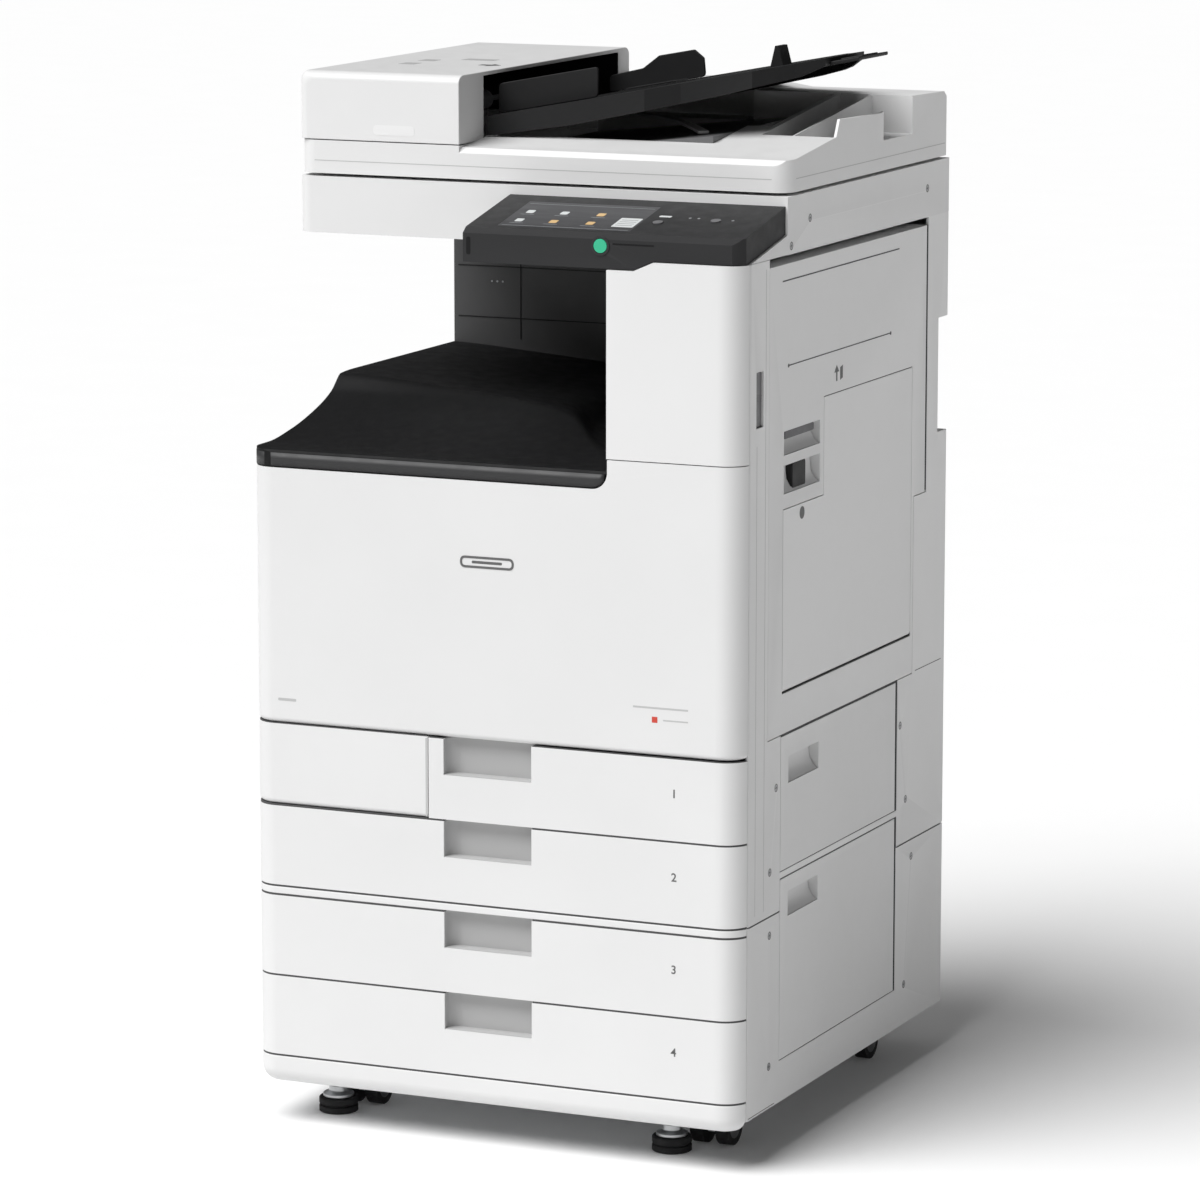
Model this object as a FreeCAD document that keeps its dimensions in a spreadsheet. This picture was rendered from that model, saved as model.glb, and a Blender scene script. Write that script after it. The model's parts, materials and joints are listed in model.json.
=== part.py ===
import FreeCAD, Part
import os
import Sketcher

# A floor-standing office photocopier with four paper cassettes, a flatbed scanner and a
# document feeder.  X runs to the right seen from the front, Z is up, and the origin is on the
# floor under the middle of the machine.  In the code below, y is the distance behind the front
# face; place() turns it into the row's Y.

os.makedirs("parts", exist_ok=True)

SIZES = {
    # the body
    "width": 585, "depth": 614.5, "wall": 3, "corner": 28, "seam": 0.7, "gap": 1.1,
    "front_thick": 22, "air": 0.3, "fit": 0.05,
    # levels
    "skirt_bottom": 46, "side_bottom": 57, "row_base": 79, "row_pitch": 91.5, "strip_tall": 10,
    "split_level": 271, "lip_bottom": 741, "lip_top": 760, "pillar_bottom": 772,
    "reader_bottom": 985, "reader_top": 1047, "lid_bottom": 1050.5,
    # steel frame
    "plate": 2.5, "frame_left": 286, "frame_right": 238.5, "frame_front": 30, "frame_back": 577.5,
    "frame_bottom": 60, "frame_top": 982, "left_plate_top": 735, "tower_front": 529.5,
    "rail_tall": 3.5, "rail_lift": 2.2, "rail_wide": 45, "paper_slot_front": 100,
    "paper_slot_back": 440, "paper_slot_low": 70, "paper_slot_tall": 14,
    "shelf_right": 76, "hanger_front": 150, "hanger_back": 300,
    # cassettes
    "tub_left": 254, "tub_right": 224, "small_tub_left": 70, "tub_front": 24, "tub_back": 490,
    "tub_lift": 6, "tub_tall": 54, "tub_wall": 2.5,
    "grip_left": 57, "grip_right": 48, "grip_tall": 40, "grip_deep": 18, "grip_margin": 6,
    "front_hollow": 262, "waste_split": 75.5, "roller_x": 205, "roller_drop": 12,
    "roller_radius": 9, "shaft_radius": 3, "roller_front": 190, "roller_back": 260,
    # front cover and pillar
    "cover_hinge": 6, "cover_seam": 455.5, "ear_x": 136.5, "ear_round": 17,
    "step_start": 167, "step_end": 190, "step_drop": 10,
    # output tray and the hollow above it
    "tray_back": 526, "tray_wall": 4, "stack_top": 816, "stack_front": 222,
    "exit_slot_low": 838, "exit_slot_high": 862,
    # right side
    "side_split": 75.5, "side_panel": 113, "door_back": 464, "low_door_bottom": 104.5,
    "low_door_top": 306, "mid_door_bottom": 315, "mid_door_top": 463, "door_thick": 17.5,
    "door_hinge": 5.5, "pull_front": 136, "pull_back": 224, "pull_deep": 12,
    "mid_pull_low": 409, "mid_pull_high": 439, "low_pull_low": 261, "low_pull_high": 289,
    "upper_bottom": 466, "upper_step": 669.5, "upper_top": 976, "upper_front": 76,
    "upper_low_back": 510, "upper_back": 549.5, "upper_thick": 27.5,
    "bypass_front": 116, "bypass_back": 503, "bypass_low": 510, "bypass_high": 820,
    "bypass_notch_back": 233, "bypass_notch_low": 712, "bypass_thick": 9, "bypass_pocket": 17.5,
    "latch_front": 118, "latch_back": 222, "latch_low": 728, "latch_mid": 759,
    "latch_upper": 770, "latch_high": 796, "latch_deep": 14,
    "switch_front": 40, "switch_back": 60, "switch_low": 809, "switch_high": 869,
    "notch_inner": 250, "notch_deep": 29.5, "notch_low": 734, "notch_high": 866,
    "screw_radius": 3.4, "screw_tall": 1.2,
    # scanner
    "reader_front": 125, "reader_wall": 4, "reader_corner": 16, "glass_left": 232, "glass_right": 212,
    "glass_front": 165, "glass_back": 490, "strip_left": 264, "strip_right": 246,
    "carriage_left": 236, "carriage_wide": 44, "carriage_low": 1008, "carriage_tall": 30,
    "carriage_rail_y": 545, "carriage_rail_radius": 4,
    # control panel
    "panel_left": 33, "panel_right": 290, "panel_front": 4, "panel_back": 121,
    "panel_bottom": 976, "panel_nose": 1013, "panel_rear_top": 1037, "panel_rear_low": 1006,
    "screen_wide": 155, "screen_deep": 86, "screen_thick": 3, "screen_offset": 8,
    "key_radius": 5.5, "start_radius": 7.5, "start_x": 128, "start_z": 1000,
    # document feeder
    "lid_front": 128, "lid_back": 604, "lid_corner": 20, "slab_top": 1066, "rim_top": 1085,
    "ramp_front": 150, "ramp_back": 495, "ramp_top": 1126.5, "ridge_top": 1122,
    "feeder_right": 96, "feeder_top": 1163, "feeder_mouth": 190, "feeder_back": 590,
    "well_front": 208, "well_right": 171, "well_step": 306, "well_far_right": 199,
    "well_floor": 1068, "pocket_left": 206, "pocket_rib": 243, "pocket_front": 262,
    "pocket_floor": 1084, "cheek_notch": 406, "cheek_top": 1115,
    "cover_split": 1088, "cover_wall": 4, "mouth_low": 1070, "mouth_roof": 1158.5,
    "tray_near": 194, "tray_far": 556, "tray_middle": 375, "guide_tall": 34,
    "tray_hinge_x": -88, "tray_hinge_z": 1103, "hump_front": 560, "lid_hinge_y": 600,
    "lid_hinge_z": 1056, "pin_radius": 3,
    # casters and feet
    "caster_x": 214, "caster_front_y": 125, "caster_rear_y": 537, "wheel_radius": 22.5,
    "wheel_wide": 15, "wheel_inner": 7.5, "fork_thick": 12, "fork_top": 57, "axle_radius": 4,
    "trail": 12, "foot_radius": 22.5, "foot_tall": 20, "foot_stem": 6, "collar_low": 31,
    "collar_radius": 11, "foot_left_x": 227, "foot_right_x": 181, "foot_y": 78,
}

doc = FreeCAD.newDocument("photocopier")
sheet = doc.addObject("Spreadsheet::Sheet", "dims")
for row, (name, number) in enumerate(SIZES.items(), 1):
    sheet.set(f"A{row}", name)
    sheet.set(f"B{row}", str(number))
    sheet.setAlias(f"B{row}", name)
doc.recompute()


class Size:
    """A length worked out from the sheet: its number, and the expression that gives it."""

    def __init__(self, text, number):
        self.text = text
        self.number = number

    def join(self, sign, other, number):
        return Size(f"({self.text} {sign} {other.text})", number)

    def __add__(self, other):
        other = size(other)
        return self.join("+", other, self.number + other.number)

    def __sub__(self, other):
        other = size(other)
        return self.join("-", other, self.number - other.number)

    def __mul__(self, other):
        other = size(other)
        return self.join("*", other, self.number * other.number)

    def __truediv__(self, other):
        other = size(other)
        return self.join("/", other, self.number / other.number)

    def __neg__(self):
        return Size(f"(0 - {self.text})", -self.number)

    def __radd__(self, other):
        return size(other) + self

    def __rsub__(self, other):
        return size(other) - self

    def __rmul__(self, other):
        return size(other) * self


def size(item):
    """Gives a plain number the same form as a size from the sheet."""
    if isinstance(item, Size):
        return item
    return Size(f"({item})", float(item))


class Sheet:
    """Gives each cell of the sheet as an attribute."""

    def __getattr__(self, name):
        return Size(f"dims.{name}", float(SIZES[name]))


d = Sheet()
half = d.width / 2
AXES = "xyz"
TURNS = {
    "x": FreeCAD.Rotation(FreeCAD.Vector(0, 1, 0), 90),
    "y": FreeCAD.Rotation(FreeCAD.Vector(1, 0, 0), -90),
    "z": FreeCAD.Rotation(),
}
nodes = []


def place(axis, value):
    """A coordinate in the row's frame: y is given from the front face."""
    return value - d.depth / 2 if axis == "y" else size(value)


def bind(item, field, value):
    """Ties one property of an object to the sheet."""
    item.setExpression(field, size(value).text)


def set_place(item, x, y, z):
    """Puts an object's corner at x, y and z."""
    for axis, value in zip(AXES, (x, y, z)):
        bind(item, f"Placement.Base.{axis}", place(axis, value))


def block(name, x, y, z):
    """A box between two corners; x, y and z are pairs of low and high."""
    item = doc.addObject("Part::Box", name)
    for side, (low, high) in zip(("Length", "Width", "Height"), (x, y, z)):
        bind(item, side, high - size(low))
    set_place(item, x[0], y[0], z[0])
    return item


def rod(name, axis, start, radius, length):
    """A cylinder along an axis, from the middle of its low end."""
    item = doc.addObject("Part::Cylinder", name)
    item.Placement = FreeCAD.Placement(FreeCAD.Vector(), TURNS[axis])
    bind(item, "Radius", radius)
    bind(item, "Height", length)
    set_place(item, *start)
    return item


PLANES = {"xy": ("XY_Plane", "z"), "xz": ("XZ_Plane", "y"), "yz": ("YZ_Plane", "x")}


def prism(name, plane, outline, low, high):
    """A padded sketch: an outline of (u, v) points, stretched across the third axis."""
    body = doc.addObject("PartDesign::Body", name)
    sketch = body.newObject("Sketcher::SketchObject", name + "_sketch")
    role, across = PLANES[plane]
    origin = [item for item in body.Origin.OriginFeatures if item.Role == role][0]
    sketch.AttachmentSupport = [(origin, "")]
    sketch.MapMode = "FlatFace"
    spots = [[place(axis, value) for axis, value in zip(plane, point)] for point in outline]
    points = [FreeCAD.Vector(u.number, v.number, 0) for u, v in spots]
    lines = [Part.LineSegment(a, b) for a, b in zip(points, points[1:] + points[:1])]
    sketch.addGeometry(lines, False)
    for index in range(len(lines)):
        following = (index + 1) % len(lines)
        sketch.addConstraint(Sketcher.Constraint("Coincident", index, 2, following, 1))
    for index, (u, v) in enumerate(spots):
        for kind, value in (("DistanceX", u), ("DistanceY", v)):
            rule = Sketcher.Constraint(kind, -1, 1, index, 1, value.number)
            number = sketch.addConstraint(rule)
            sketch.setExpression(f"Constraints[{number}]", value.text)
    pad = body.newObject("PartDesign::Pad", name + "_pad")
    pad.Profile = sketch
    bind(pad, "Length", high - size(low))
    # the xz plane faces the front, so its pad grows forwards from the far end
    shift = high if plane == "xz" else low
    bind(body, f"Placement.Base.{across}", place(across, shift))
    return body


def join_all(name, items):
    if len(items) == 1:
        return items[0]
    item = doc.addObject("Part::MultiFuse", name)
    item.Shapes = items
    item.Refine = True
    return item


def fuse(name, *items):
    """One solid out of several that touch, or a group of separate ones."""
    return join_all(name, list(items))


def cut(name, base, *tools):
    """Takes the tools away from the base."""
    item = doc.addObject("Part::Cut", name)
    item.Base = base
    item.Tool = join_all(name + "_tools", list(tools))
    item.Refine = True
    return item


def common(name, first, second):
    """What two solids share."""
    item = doc.addObject("Part::Common", name)
    item.Base = first
    item.Tool = second
    item.Refine = True
    return item


def round_edges(name, base, radius, along, corners):
    """Rounds the straight edges that run along an axis through the given corners."""
    doc.recompute()
    others = [axis for axis in AXES if axis != along]
    wanted = [[place(axis, value).number for axis, value in zip(others, corner)] for corner in corners]
    chosen = []
    for number, edge in enumerate(base.Shape.Edges, 1):
        middle = edge.CenterOfMass
        ends = edge.Vertexes[-1].Point - edge.Vertexes[0].Point
        straight = all(abs(getattr(ends, axis)) < 0.01 for axis in others) and ends.Length > 0.01
        for spot in wanted:
            near = all(abs(getattr(middle, axis) - value) < 0.01 for axis, value in zip(others, spot))
            if straight and near:
                chosen.append((number, size(radius).number, size(radius).number))
    item = doc.addObject("Part::Fillet", name)
    item.Base = base
    item.Edges = chosen
    return item


def node(label, item):
    """Names a finished sub-part."""
    item.Label = label
    nodes.append(item)
    return item


# ---------------------------------------------------------------- outer form of the covers
def rounded_form(name, inset, low, high):
    """The plan of the machine, brought in by an inset, with its round front corners."""
    form = block(name + "_block", (inset - half, half - inset), (inset, d.depth - inset), (low, high))
    corners = [(inset - half, inset), (half - inset, inset)]
    return round_edges(name, form, d.corner - inset, "z", corners)


outer_form = rounded_form("outer_form", size(0), d.skirt_bottom, d.reader_bottom)
inner_form = rounded_form("inner_form", d.wall, d.skirt_bottom - 1, d.reader_bottom + 1)
cover_ring = cut("cover_ring", outer_form, inner_form)


def cover(name, regions, *openings):
    """A stretch of the outer skin, less its openings."""
    blocks = [block(f"{name}_region_{index}", *region) for index, region in enumerate(regions)]
    skin = common(name + "_skin", cover_ring, join_all(name + "_regions", blocks))
    return cut(name, skin, *openings) if openings else skin


side = d.front_thick + d.seam
rear = d.depth - d.wall
left_x = (-half, 10 - half)
right_x = (half - 10, half)
row_levels = {
    4: d.row_base,
    3: d.row_base + d.row_pitch,
    2: d.row_base + d.row_pitch * 2 + d.strip_tall,
    1: d.row_base + d.row_pitch * 3 + d.strip_tall,
}
SCREWS = ((84, 320), (84, 250), (84, 104), (101, 410), (493, 322), (513, 251), (493, 104), (474, 411))
READER_SCREWS = ((189, 1019), (545, 1018), (136, 994))


def screw_rods(name, spots, radius, start):
    """Short rods along X at the places where screws hold the right-hand covers."""
    return [
        rod(f"{name}_{index}", "x", (start, y, z), radius, d.screw_tall)
        for index, (y, z) in enumerate(spots)
    ]


screw_start = half - d.screw_tall


def screw_seats(name, spots):
    return screw_rods(name, spots, d.screw_radius + 0.5, screw_start)


# ---------------------------------------------------------------- steel frame
def main_frame():
    x_out, x_in = -d.frame_left, d.frame_right
    inner = (x_out + d.plate, x_in - d.plate)
    deep = (d.frame_front, d.frame_back - d.plate)
    sheets = [
        block("frame_floor", (x_out, x_in), (d.frame_front, d.frame_back),
              (d.frame_bottom, d.frame_bottom + d.plate)),
        block("frame_left", (x_out, x_out + d.plate), (d.frame_front, d.frame_back),
              (d.frame_bottom, d.left_plate_top)),
        block("frame_left_tower", (x_out, x_out + d.plate), (d.tower_front, d.frame_back),
              (d.frame_bottom, d.frame_top)),
        block("frame_rear", (x_out, x_in), (d.frame_back - d.plate, d.frame_back),
              (d.frame_bottom, d.frame_top)),
        block("frame_deck", inner, deep, (d.cover_seam - 4, d.cover_seam - 4 + d.plate)),
        block("frame_middle", inner, deep, (d.split_level - 6, d.split_level - 6 + d.plate)),
        block("frame_shelf", (x_out, -d.shelf_right), deep,
              (row_levels[1] + 1, row_levels[1] + 1 + d.plate)),
        block("frame_partition", (-d.shelf_right - d.plate, -d.shelf_right), deep,
              (row_levels[1] + 1, d.cover_seam - 4)),
    ]
    right = block("frame_right", (x_in - d.plate, x_in), (d.frame_front, d.frame_back),
                  (d.frame_bottom, d.frame_top))
    slots = []
    for row, level in row_levels.items():
        low = level + d.paper_slot_low
        slots.append(block(f"paper_slot_{row}", (x_in - 10, x_in + 10),
                           (d.paper_slot_front, d.paper_slot_back), (low, low + d.paper_slot_tall)))
        rail = (level + d.rail_lift, level + d.rail_lift + d.rail_tall)
        left = x_out if row > 1 else -d.shelf_right - d.plate
        sheets.append(block(f"rail_left_{row}", (left, left + d.rail_wide), deep, rail))
        sheets.append(block(f"rail_right_{row}", (x_in - d.rail_wide, x_in), deep, rail))
    slots.append(block("exit_path", (x_in - 10, x_in + 10), (d.paper_slot_front, d.paper_slot_back),
                       (d.exit_slot_low, d.exit_slot_high)))
    slots.append(block("transfer_window", (x_in - 10, x_in + 10),
                       (d.paper_slot_front, d.paper_slot_back), (d.upper_bottom + 20, d.upper_step)))
    sheets.append(cut("frame_right_slotted", right, *slots))
    sheets += roller_hangers()
    return node("main_frame", fuse("main_frame", *sheets))


def roller_level(row):
    """Height of a pick-up roller's axis above the cassette of its row."""
    return row_levels[row] + d.tub_lift + d.tub_tall + d.roller_drop


def roller_hangers():
    """Two arms for each pick-up roller, from the frame's right plate, with open slots."""
    hangers = []
    for row in row_levels:
        level = roller_level(row)
        for end, y in (("front", d.hanger_front), ("back", d.hanger_back)):
            arm = block(f"hanger_{end}_{row}", (d.roller_x - 6, d.frame_right - d.plate),
                        (y, y + d.plate), (level - 6, level + 6))
            notch = block(f"hanger_notch_{end}_{row}",
                          (d.roller_x - d.shaft_radius - d.fit, d.roller_x + d.shaft_radius + d.fit),
                          (y - 1, y + d.plate + 1), (level - d.shaft_radius - d.fit, level + 7))
            hangers.append(cut(f"hanger_cut_{end}_{row}", arm, notch))
    return hangers


def pickup_roller(row):
    """A rubber tyre on its steel shaft."""
    level = roller_level(row)
    length = d.hanger_back - d.hanger_front + d.plate + 8
    shaft = rod(f"pickup_shaft_{row}", "y", (d.roller_x, d.hanger_front - 4, level),
                d.shaft_radius, length)
    tyre = rod(f"pickup_tyre_{row}", "y", (d.roller_x, d.roller_front, level), d.roller_radius,
               d.roller_back - d.roller_front)
    return node(f"pickup_roller_{row}", fuse(f"pickup_roller_{row}", shaft, tyre))


# ---------------------------------------------------------------- fixed covers
def front_trim():
    """The plinth across the front, open to the back, and the strip between the two units."""
    region = block("skirt_region", (-half, half), (0, d.front_thick),
                   (d.skirt_bottom, d.row_base - d.gap))
    hollow = block("skirt_hollow", (-d.front_hollow, d.front_hollow), (d.wall, d.front_thick + 1),
                   (d.skirt_bottom + d.wall, d.row_base - d.gap - d.wall))
    strip = block("strip_region", (-half, half), (0, d.front_thick),
                  (row_levels[2] - d.strip_tall + d.gap, row_levels[2] - d.gap))
    skirt = cut("base_skirt", common("skirt_form", outer_form, region), hollow)
    node("front_trim", fuse("front_trim", skirt, common("middle_strip", outer_form, strip)))


def side_covers():
    low = (d.side_bottom, d.split_level - d.seam)
    high = (d.split_level + d.seam, d.lip_bottom)
    node("left_cover_lower", cover("left_cover_lower", [(left_x, (side, rear), low)]))
    column = (left_x, (d.tower_front, rear), (d.lip_bottom, d.reader_bottom))
    node("left_cover_upper", cover("left_cover_upper", [(left_x, (side, rear), high), column]))

    opening = block("low_door_opening", right_x, (d.side_panel, d.door_back),
                    (d.low_door_bottom - d.gap, d.split_level))
    node("right_cover_lower", cover("right_cover_lower", [(right_x, (side, rear), low)], opening,
                                    *screw_seats("low_seat", SCREWS)))

    step = d.upper_bottom - d.gap
    front_regions = [
        (right_x, (side, d.side_panel), (d.split_level + d.seam, step)),
        (right_x, (side, d.side_split), (step, d.reader_bottom)),
    ]
    switch = block("switch_opening", right_x, (d.switch_front, d.switch_back),
                   (d.switch_low, d.switch_high))
    node("right_front_cover", cover("right_front_cover", front_regions, switch,
                                    *screw_seats("front_seat", SCREWS)))

    rear_regions = [
        (right_x, (d.door_back + d.gap, rear), (d.split_level + d.seam, step)),
        (right_x, (d.upper_low_back + d.gap, rear), (step, d.upper_step)),
        (right_x, (d.upper_back + d.gap, rear), (d.upper_step, d.reader_bottom)),
        (right_x, (d.side_panel, d.door_back + d.gap), (d.low_door_top + d.gap, d.mid_door_bottom - d.gap)),
    ]
    node("right_rear_cover", cover("right_rear_cover", rear_regions, rear_notch("right"),
                                   *screw_seats("rear_seat", SCREWS)))


def rear_notch(name):
    """The hollow in the machine's right-hand rear corner."""
    return block(f"{name}_notch", (d.notch_inner, half + 1), (d.depth - d.notch_deep, d.depth + 1),
                 (d.notch_low, d.notch_high))


INLET_X, INLET_Z = (-240, -192), (96, 130)
VENT_BANKS, VENT_ROWS, VENT_WIDE, VENT_TALL = (-240, 60), 8, 90, 5
VENT_LOW, VENT_PITCH = 560, 12


def rear_covers():
    across = (-half, half)
    back = (rear, d.depth)
    inlet = block("inlet_opening", INLET_X, (rear - 1, d.depth + 1), INLET_Z)
    node("rear_cover_lower", cover("rear_cover_lower",
                                   [(across, back, (d.side_bottom, d.split_level - d.seam))], inlet))
    vents = [
        block(f"vent_{bank}_{row}", (x, x + VENT_WIDE), (rear - 1, d.depth + 1),
              (VENT_LOW + VENT_PITCH * row, VENT_LOW + VENT_PITCH * row + VENT_TALL))
        for bank, x in enumerate(VENT_BANKS)
        for row in range(VENT_ROWS)
    ]
    skin = cover("rear_skin", [(across, back, (d.split_level + d.seam, d.reader_bottom))],
                 rear_notch("rear"), *vents)
    liner = block("notch_liner", (d.notch_inner - d.wall, half - d.wall),
                  (d.depth - d.notch_deep - d.wall, rear), (d.notch_low - d.wall, d.notch_high + d.wall))
    hollow = cut("notch_shell", liner, rear_notch("liner"))
    node("rear_cover_upper", fuse("rear_cover_upper", skin, hollow))


def cover_screws():
    body = screw_rods("screw", SCREWS, d.screw_radius, screw_start)
    reader = screw_rods("reader_screw", READER_SCREWS, d.screw_radius, screw_start)
    node("cover_screws", fuse("cover_screws", *body, *reader))


# ---------------------------------------------------------------- front panels
def pillar_outline(low, inset):
    """The front of the column under the control panel, with the step in its top edge."""
    top = d.reader_bottom
    return [
        (d.ear_x + inset, low), (half - inset, low), (half - inset, top),
        (d.step_end, top), (d.step_start, top - d.step_drop), (d.ear_x + inset, top - d.step_drop),
    ]


def pillar_cover():
    form = prism("pillar_form", "xz", pillar_outline(d.pillar_bottom + d.gap, 0), 0, d.front_thick)
    hollow = block("pillar_hollow", (d.ear_x + d.wall, d.front_hollow),
                   (d.wall, d.front_thick + 1), (d.pillar_bottom + 5, d.reader_bottom - 14))
    node("pillar_cover", cut("pillar_cover", common("pillar_round", outer_form, form), hollow))


def heel(name, low):
    """What a hinged front panel loses at its lower rear edge, so that it clears the sides."""
    deep = d.front_thick + 1
    return prism(name, "yz", [(deep - 5, low - 1), (deep, low - 1), (deep, low + 4)], -half, half)


def front_cover():
    """The large front door, with a raised right-hand end beside the output tray."""
    low = d.cover_seam + d.gap / 2
    top = d.lip_bottom - d.gap
    outline = [
        (-half, low), (half, low), (half, d.pillar_bottom), (d.ear_x + 1, d.pillar_bottom),
        (d.ear_x + 1, top), (-half, top),
    ]
    form = prism("front_cover_form", "xz", outline, 0, d.front_thick)
    eased = round_edges("front_cover_eased", form, d.ear_round + 1, "y", [(d.ear_x + 1, top)])
    shaped = common("front_cover_shape", outer_form, eased)
    inner = (d.wall, d.front_thick + 1)
    main = block("front_cover_hollow", (-d.front_hollow, d.front_hollow), inner,
                 (low + 10, top - d.wall))
    ear = block("front_cover_ear", (d.ear_x + 1 + d.wall, d.front_hollow), inner,
                (top - 10, d.pillar_bottom - d.wall))
    shell = cut("front_cover_shell", shaped, main, ear, heel("front_cover_heel", low))
    node("front_cover", round_edges("front_cover", shell, d.cover_hinge, "x", [(0, low)]))


def waste_toner_cover():
    low = row_levels[1] + d.gap
    high = d.cover_seam - d.gap / 2
    region = block("waste_region", (-half, -d.waste_split - d.gap / 2), (0, d.front_thick), (low, high))
    shaped = common("waste_shape", outer_form, region)
    hollow = block("waste_hollow", (-d.front_hollow, -d.waste_split - d.wall),
                   (d.wall, d.front_thick + 1), (low + 10, high - d.wall))
    slant = prism("waste_slant", "yz", [(8, high), (d.front_thick + 1, high - 4.5),
                                        (d.front_thick + 1, high + 1), (8, high + 1)], -half, 0)
    shell = cut("waste_shell", shaped, hollow, slant, heel("waste_heel", low))
    node("waste_toner_cover", round_edges("waste_toner_cover", shell, d.cover_hinge, "x", [(0, low)]))


def cassette(row):
    """A front panel with its hand recess, and the tub that it pulls out."""
    level = row_levels[row]
    left = -half if row > 1 else -d.waste_split + d.gap / 2
    low, high = level + d.gap, level + d.row_pitch - d.gap
    region = block(f"drawer_region_{row}", (left, half), (0, d.front_thick), (low, high))
    shaped = common(f"drawer_shape_{row}", outer_form, region)
    grip = block(f"grip_{row}", (-d.grip_left, d.grip_right), (-1, d.grip_deep),
                 (high - d.grip_tall, high + 1))
    behind = (d.wall, d.front_thick + 1)
    lift = (low + d.wall, high - d.wall)
    hollows = [block(f"drawer_hollow_right_{row}", (d.grip_right + d.grip_margin, d.front_hollow),
                     behind, lift)]
    if row > 1:
        hollows.append(block(f"drawer_hollow_left_{row}",
                             (-d.front_hollow, -d.grip_left - d.grip_margin), behind, lift))
    panel = cut(f"cassette_{row}_front", shaped, grip, *hollows)
    tub_left = -d.tub_left if row > 1 else -d.small_tub_left
    base = level + d.tub_lift
    tub = block(f"tub_{row}", (tub_left, d.tub_right), (d.front_thick, d.tub_back),
                (base, base + d.tub_tall))
    inside = block(f"tub_inside_{row}", (tub_left + d.tub_wall, d.tub_right - d.tub_wall),
                   (d.front_thick + d.tub_wall, d.tub_back - d.tub_wall),
                   (base + d.tub_wall, base + d.tub_tall + 1))
    pieces = doc.addObject("Part::Compound", f"cassette_{row}")
    pieces.Links = [panel, cut(f"cassette_{row}_tub", tub, inside)]
    node(f"cassette_{row}", pieces)


# ---------------------------------------------------------------- output tray and its hollow
def tray_form(name, drop, inset):
    """The tray's upper surface, a rise to the back and a fall to the right, lowered by a drop."""
    low = d.lip_bottom - drop / 2
    rise = [
        (inset, low), (inset, d.lip_top - drop), (50, d.lip_top - drop), (92, d.lip_top + 4 - drop),
        (166, d.lip_top + 20 - drop), (204, d.lip_top + 35 - drop), (d.stack_front, d.stack_top - drop),
        (d.tray_back - inset, d.stack_top - drop), (d.tray_back - inset, low),
    ]
    fall = [
        (inset - half, low), (inset - half, d.stack_top + 0.5 - drop), (-120, d.stack_top - 14 - drop),
        (-38, d.stack_top - 22 - drop), (-3, d.stack_top - 37 - drop), (18, d.lip_top + 5 - drop),
        (d.ear_x - inset, d.lip_top + 2 - drop), (d.ear_x - inset, low),
    ]
    across = prism(name + "_rise", "yz", rise, inset - half, d.ear_x - inset)
    along = prism(name + "_fall", "xz", fall, inset, d.tray_back - inset)
    return common(name, across, along)


def output_tray():
    outer = common("tray_round", outer_form, tray_form("tray_outer", size(0), size(0)))
    eased = round_edges("tray_eased", outer, d.ear_round, "y", [(d.ear_x, d.lip_bottom)])
    inner = tray_form("tray_inner", d.tray_wall, d.tray_wall)
    node("output_tray", cut("output_tray", eased, inner))


def cavity_walls():
    """The dark walls behind and to the right of the output tray."""
    back = block("cavity_back", (-half, d.ear_x + d.wall), (d.tray_back, d.tray_back + d.wall),
                 (d.lip_bottom, d.reader_bottom))
    right = block("cavity_right", (d.ear_x, d.ear_x + d.wall), (side, d.tray_back + d.wall),
                  (d.lip_bottom, d.reader_bottom))
    slot = block("exit_slot", (d.ear_x - 1, d.ear_x + d.wall + 1), (d.paper_slot_front, d.paper_slot_back),
                 (d.exit_slot_low, d.exit_slot_high))
    node("cavity_walls", cut("cavity_walls", fuse("cavity_both", back, right), slot))


# ---------------------------------------------------------------- right-hand doors
def recess(name, y, z, deep):
    """A finger hollow sunk into the right-hand side."""
    return block(name, (half - deep, half + 1), y, z)


def low_door(name, low, high, pull):
    """A door hinged at its rear edge, with a finger hollow at its front edge."""
    y = (d.side_panel + d.gap, d.door_back - d.gap)
    slab = block(name + "_slab", (half - d.door_thick, half), y, (low, high))
    hollow = block(name + "_hollow", (half - d.door_thick - 1, half - d.wall),
                   (d.pull_back + 6, y[1] - 12), (low + d.wall, high - d.wall))
    grip = recess(name + "_grip", (d.pull_front, d.pull_back), pull, d.pull_deep)
    shaped = cut(name + "_shape", slab, hollow, grip)
    node(name, round_edges(name, shaped, d.door_hinge, "z", [(half, y[1])]))


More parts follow.
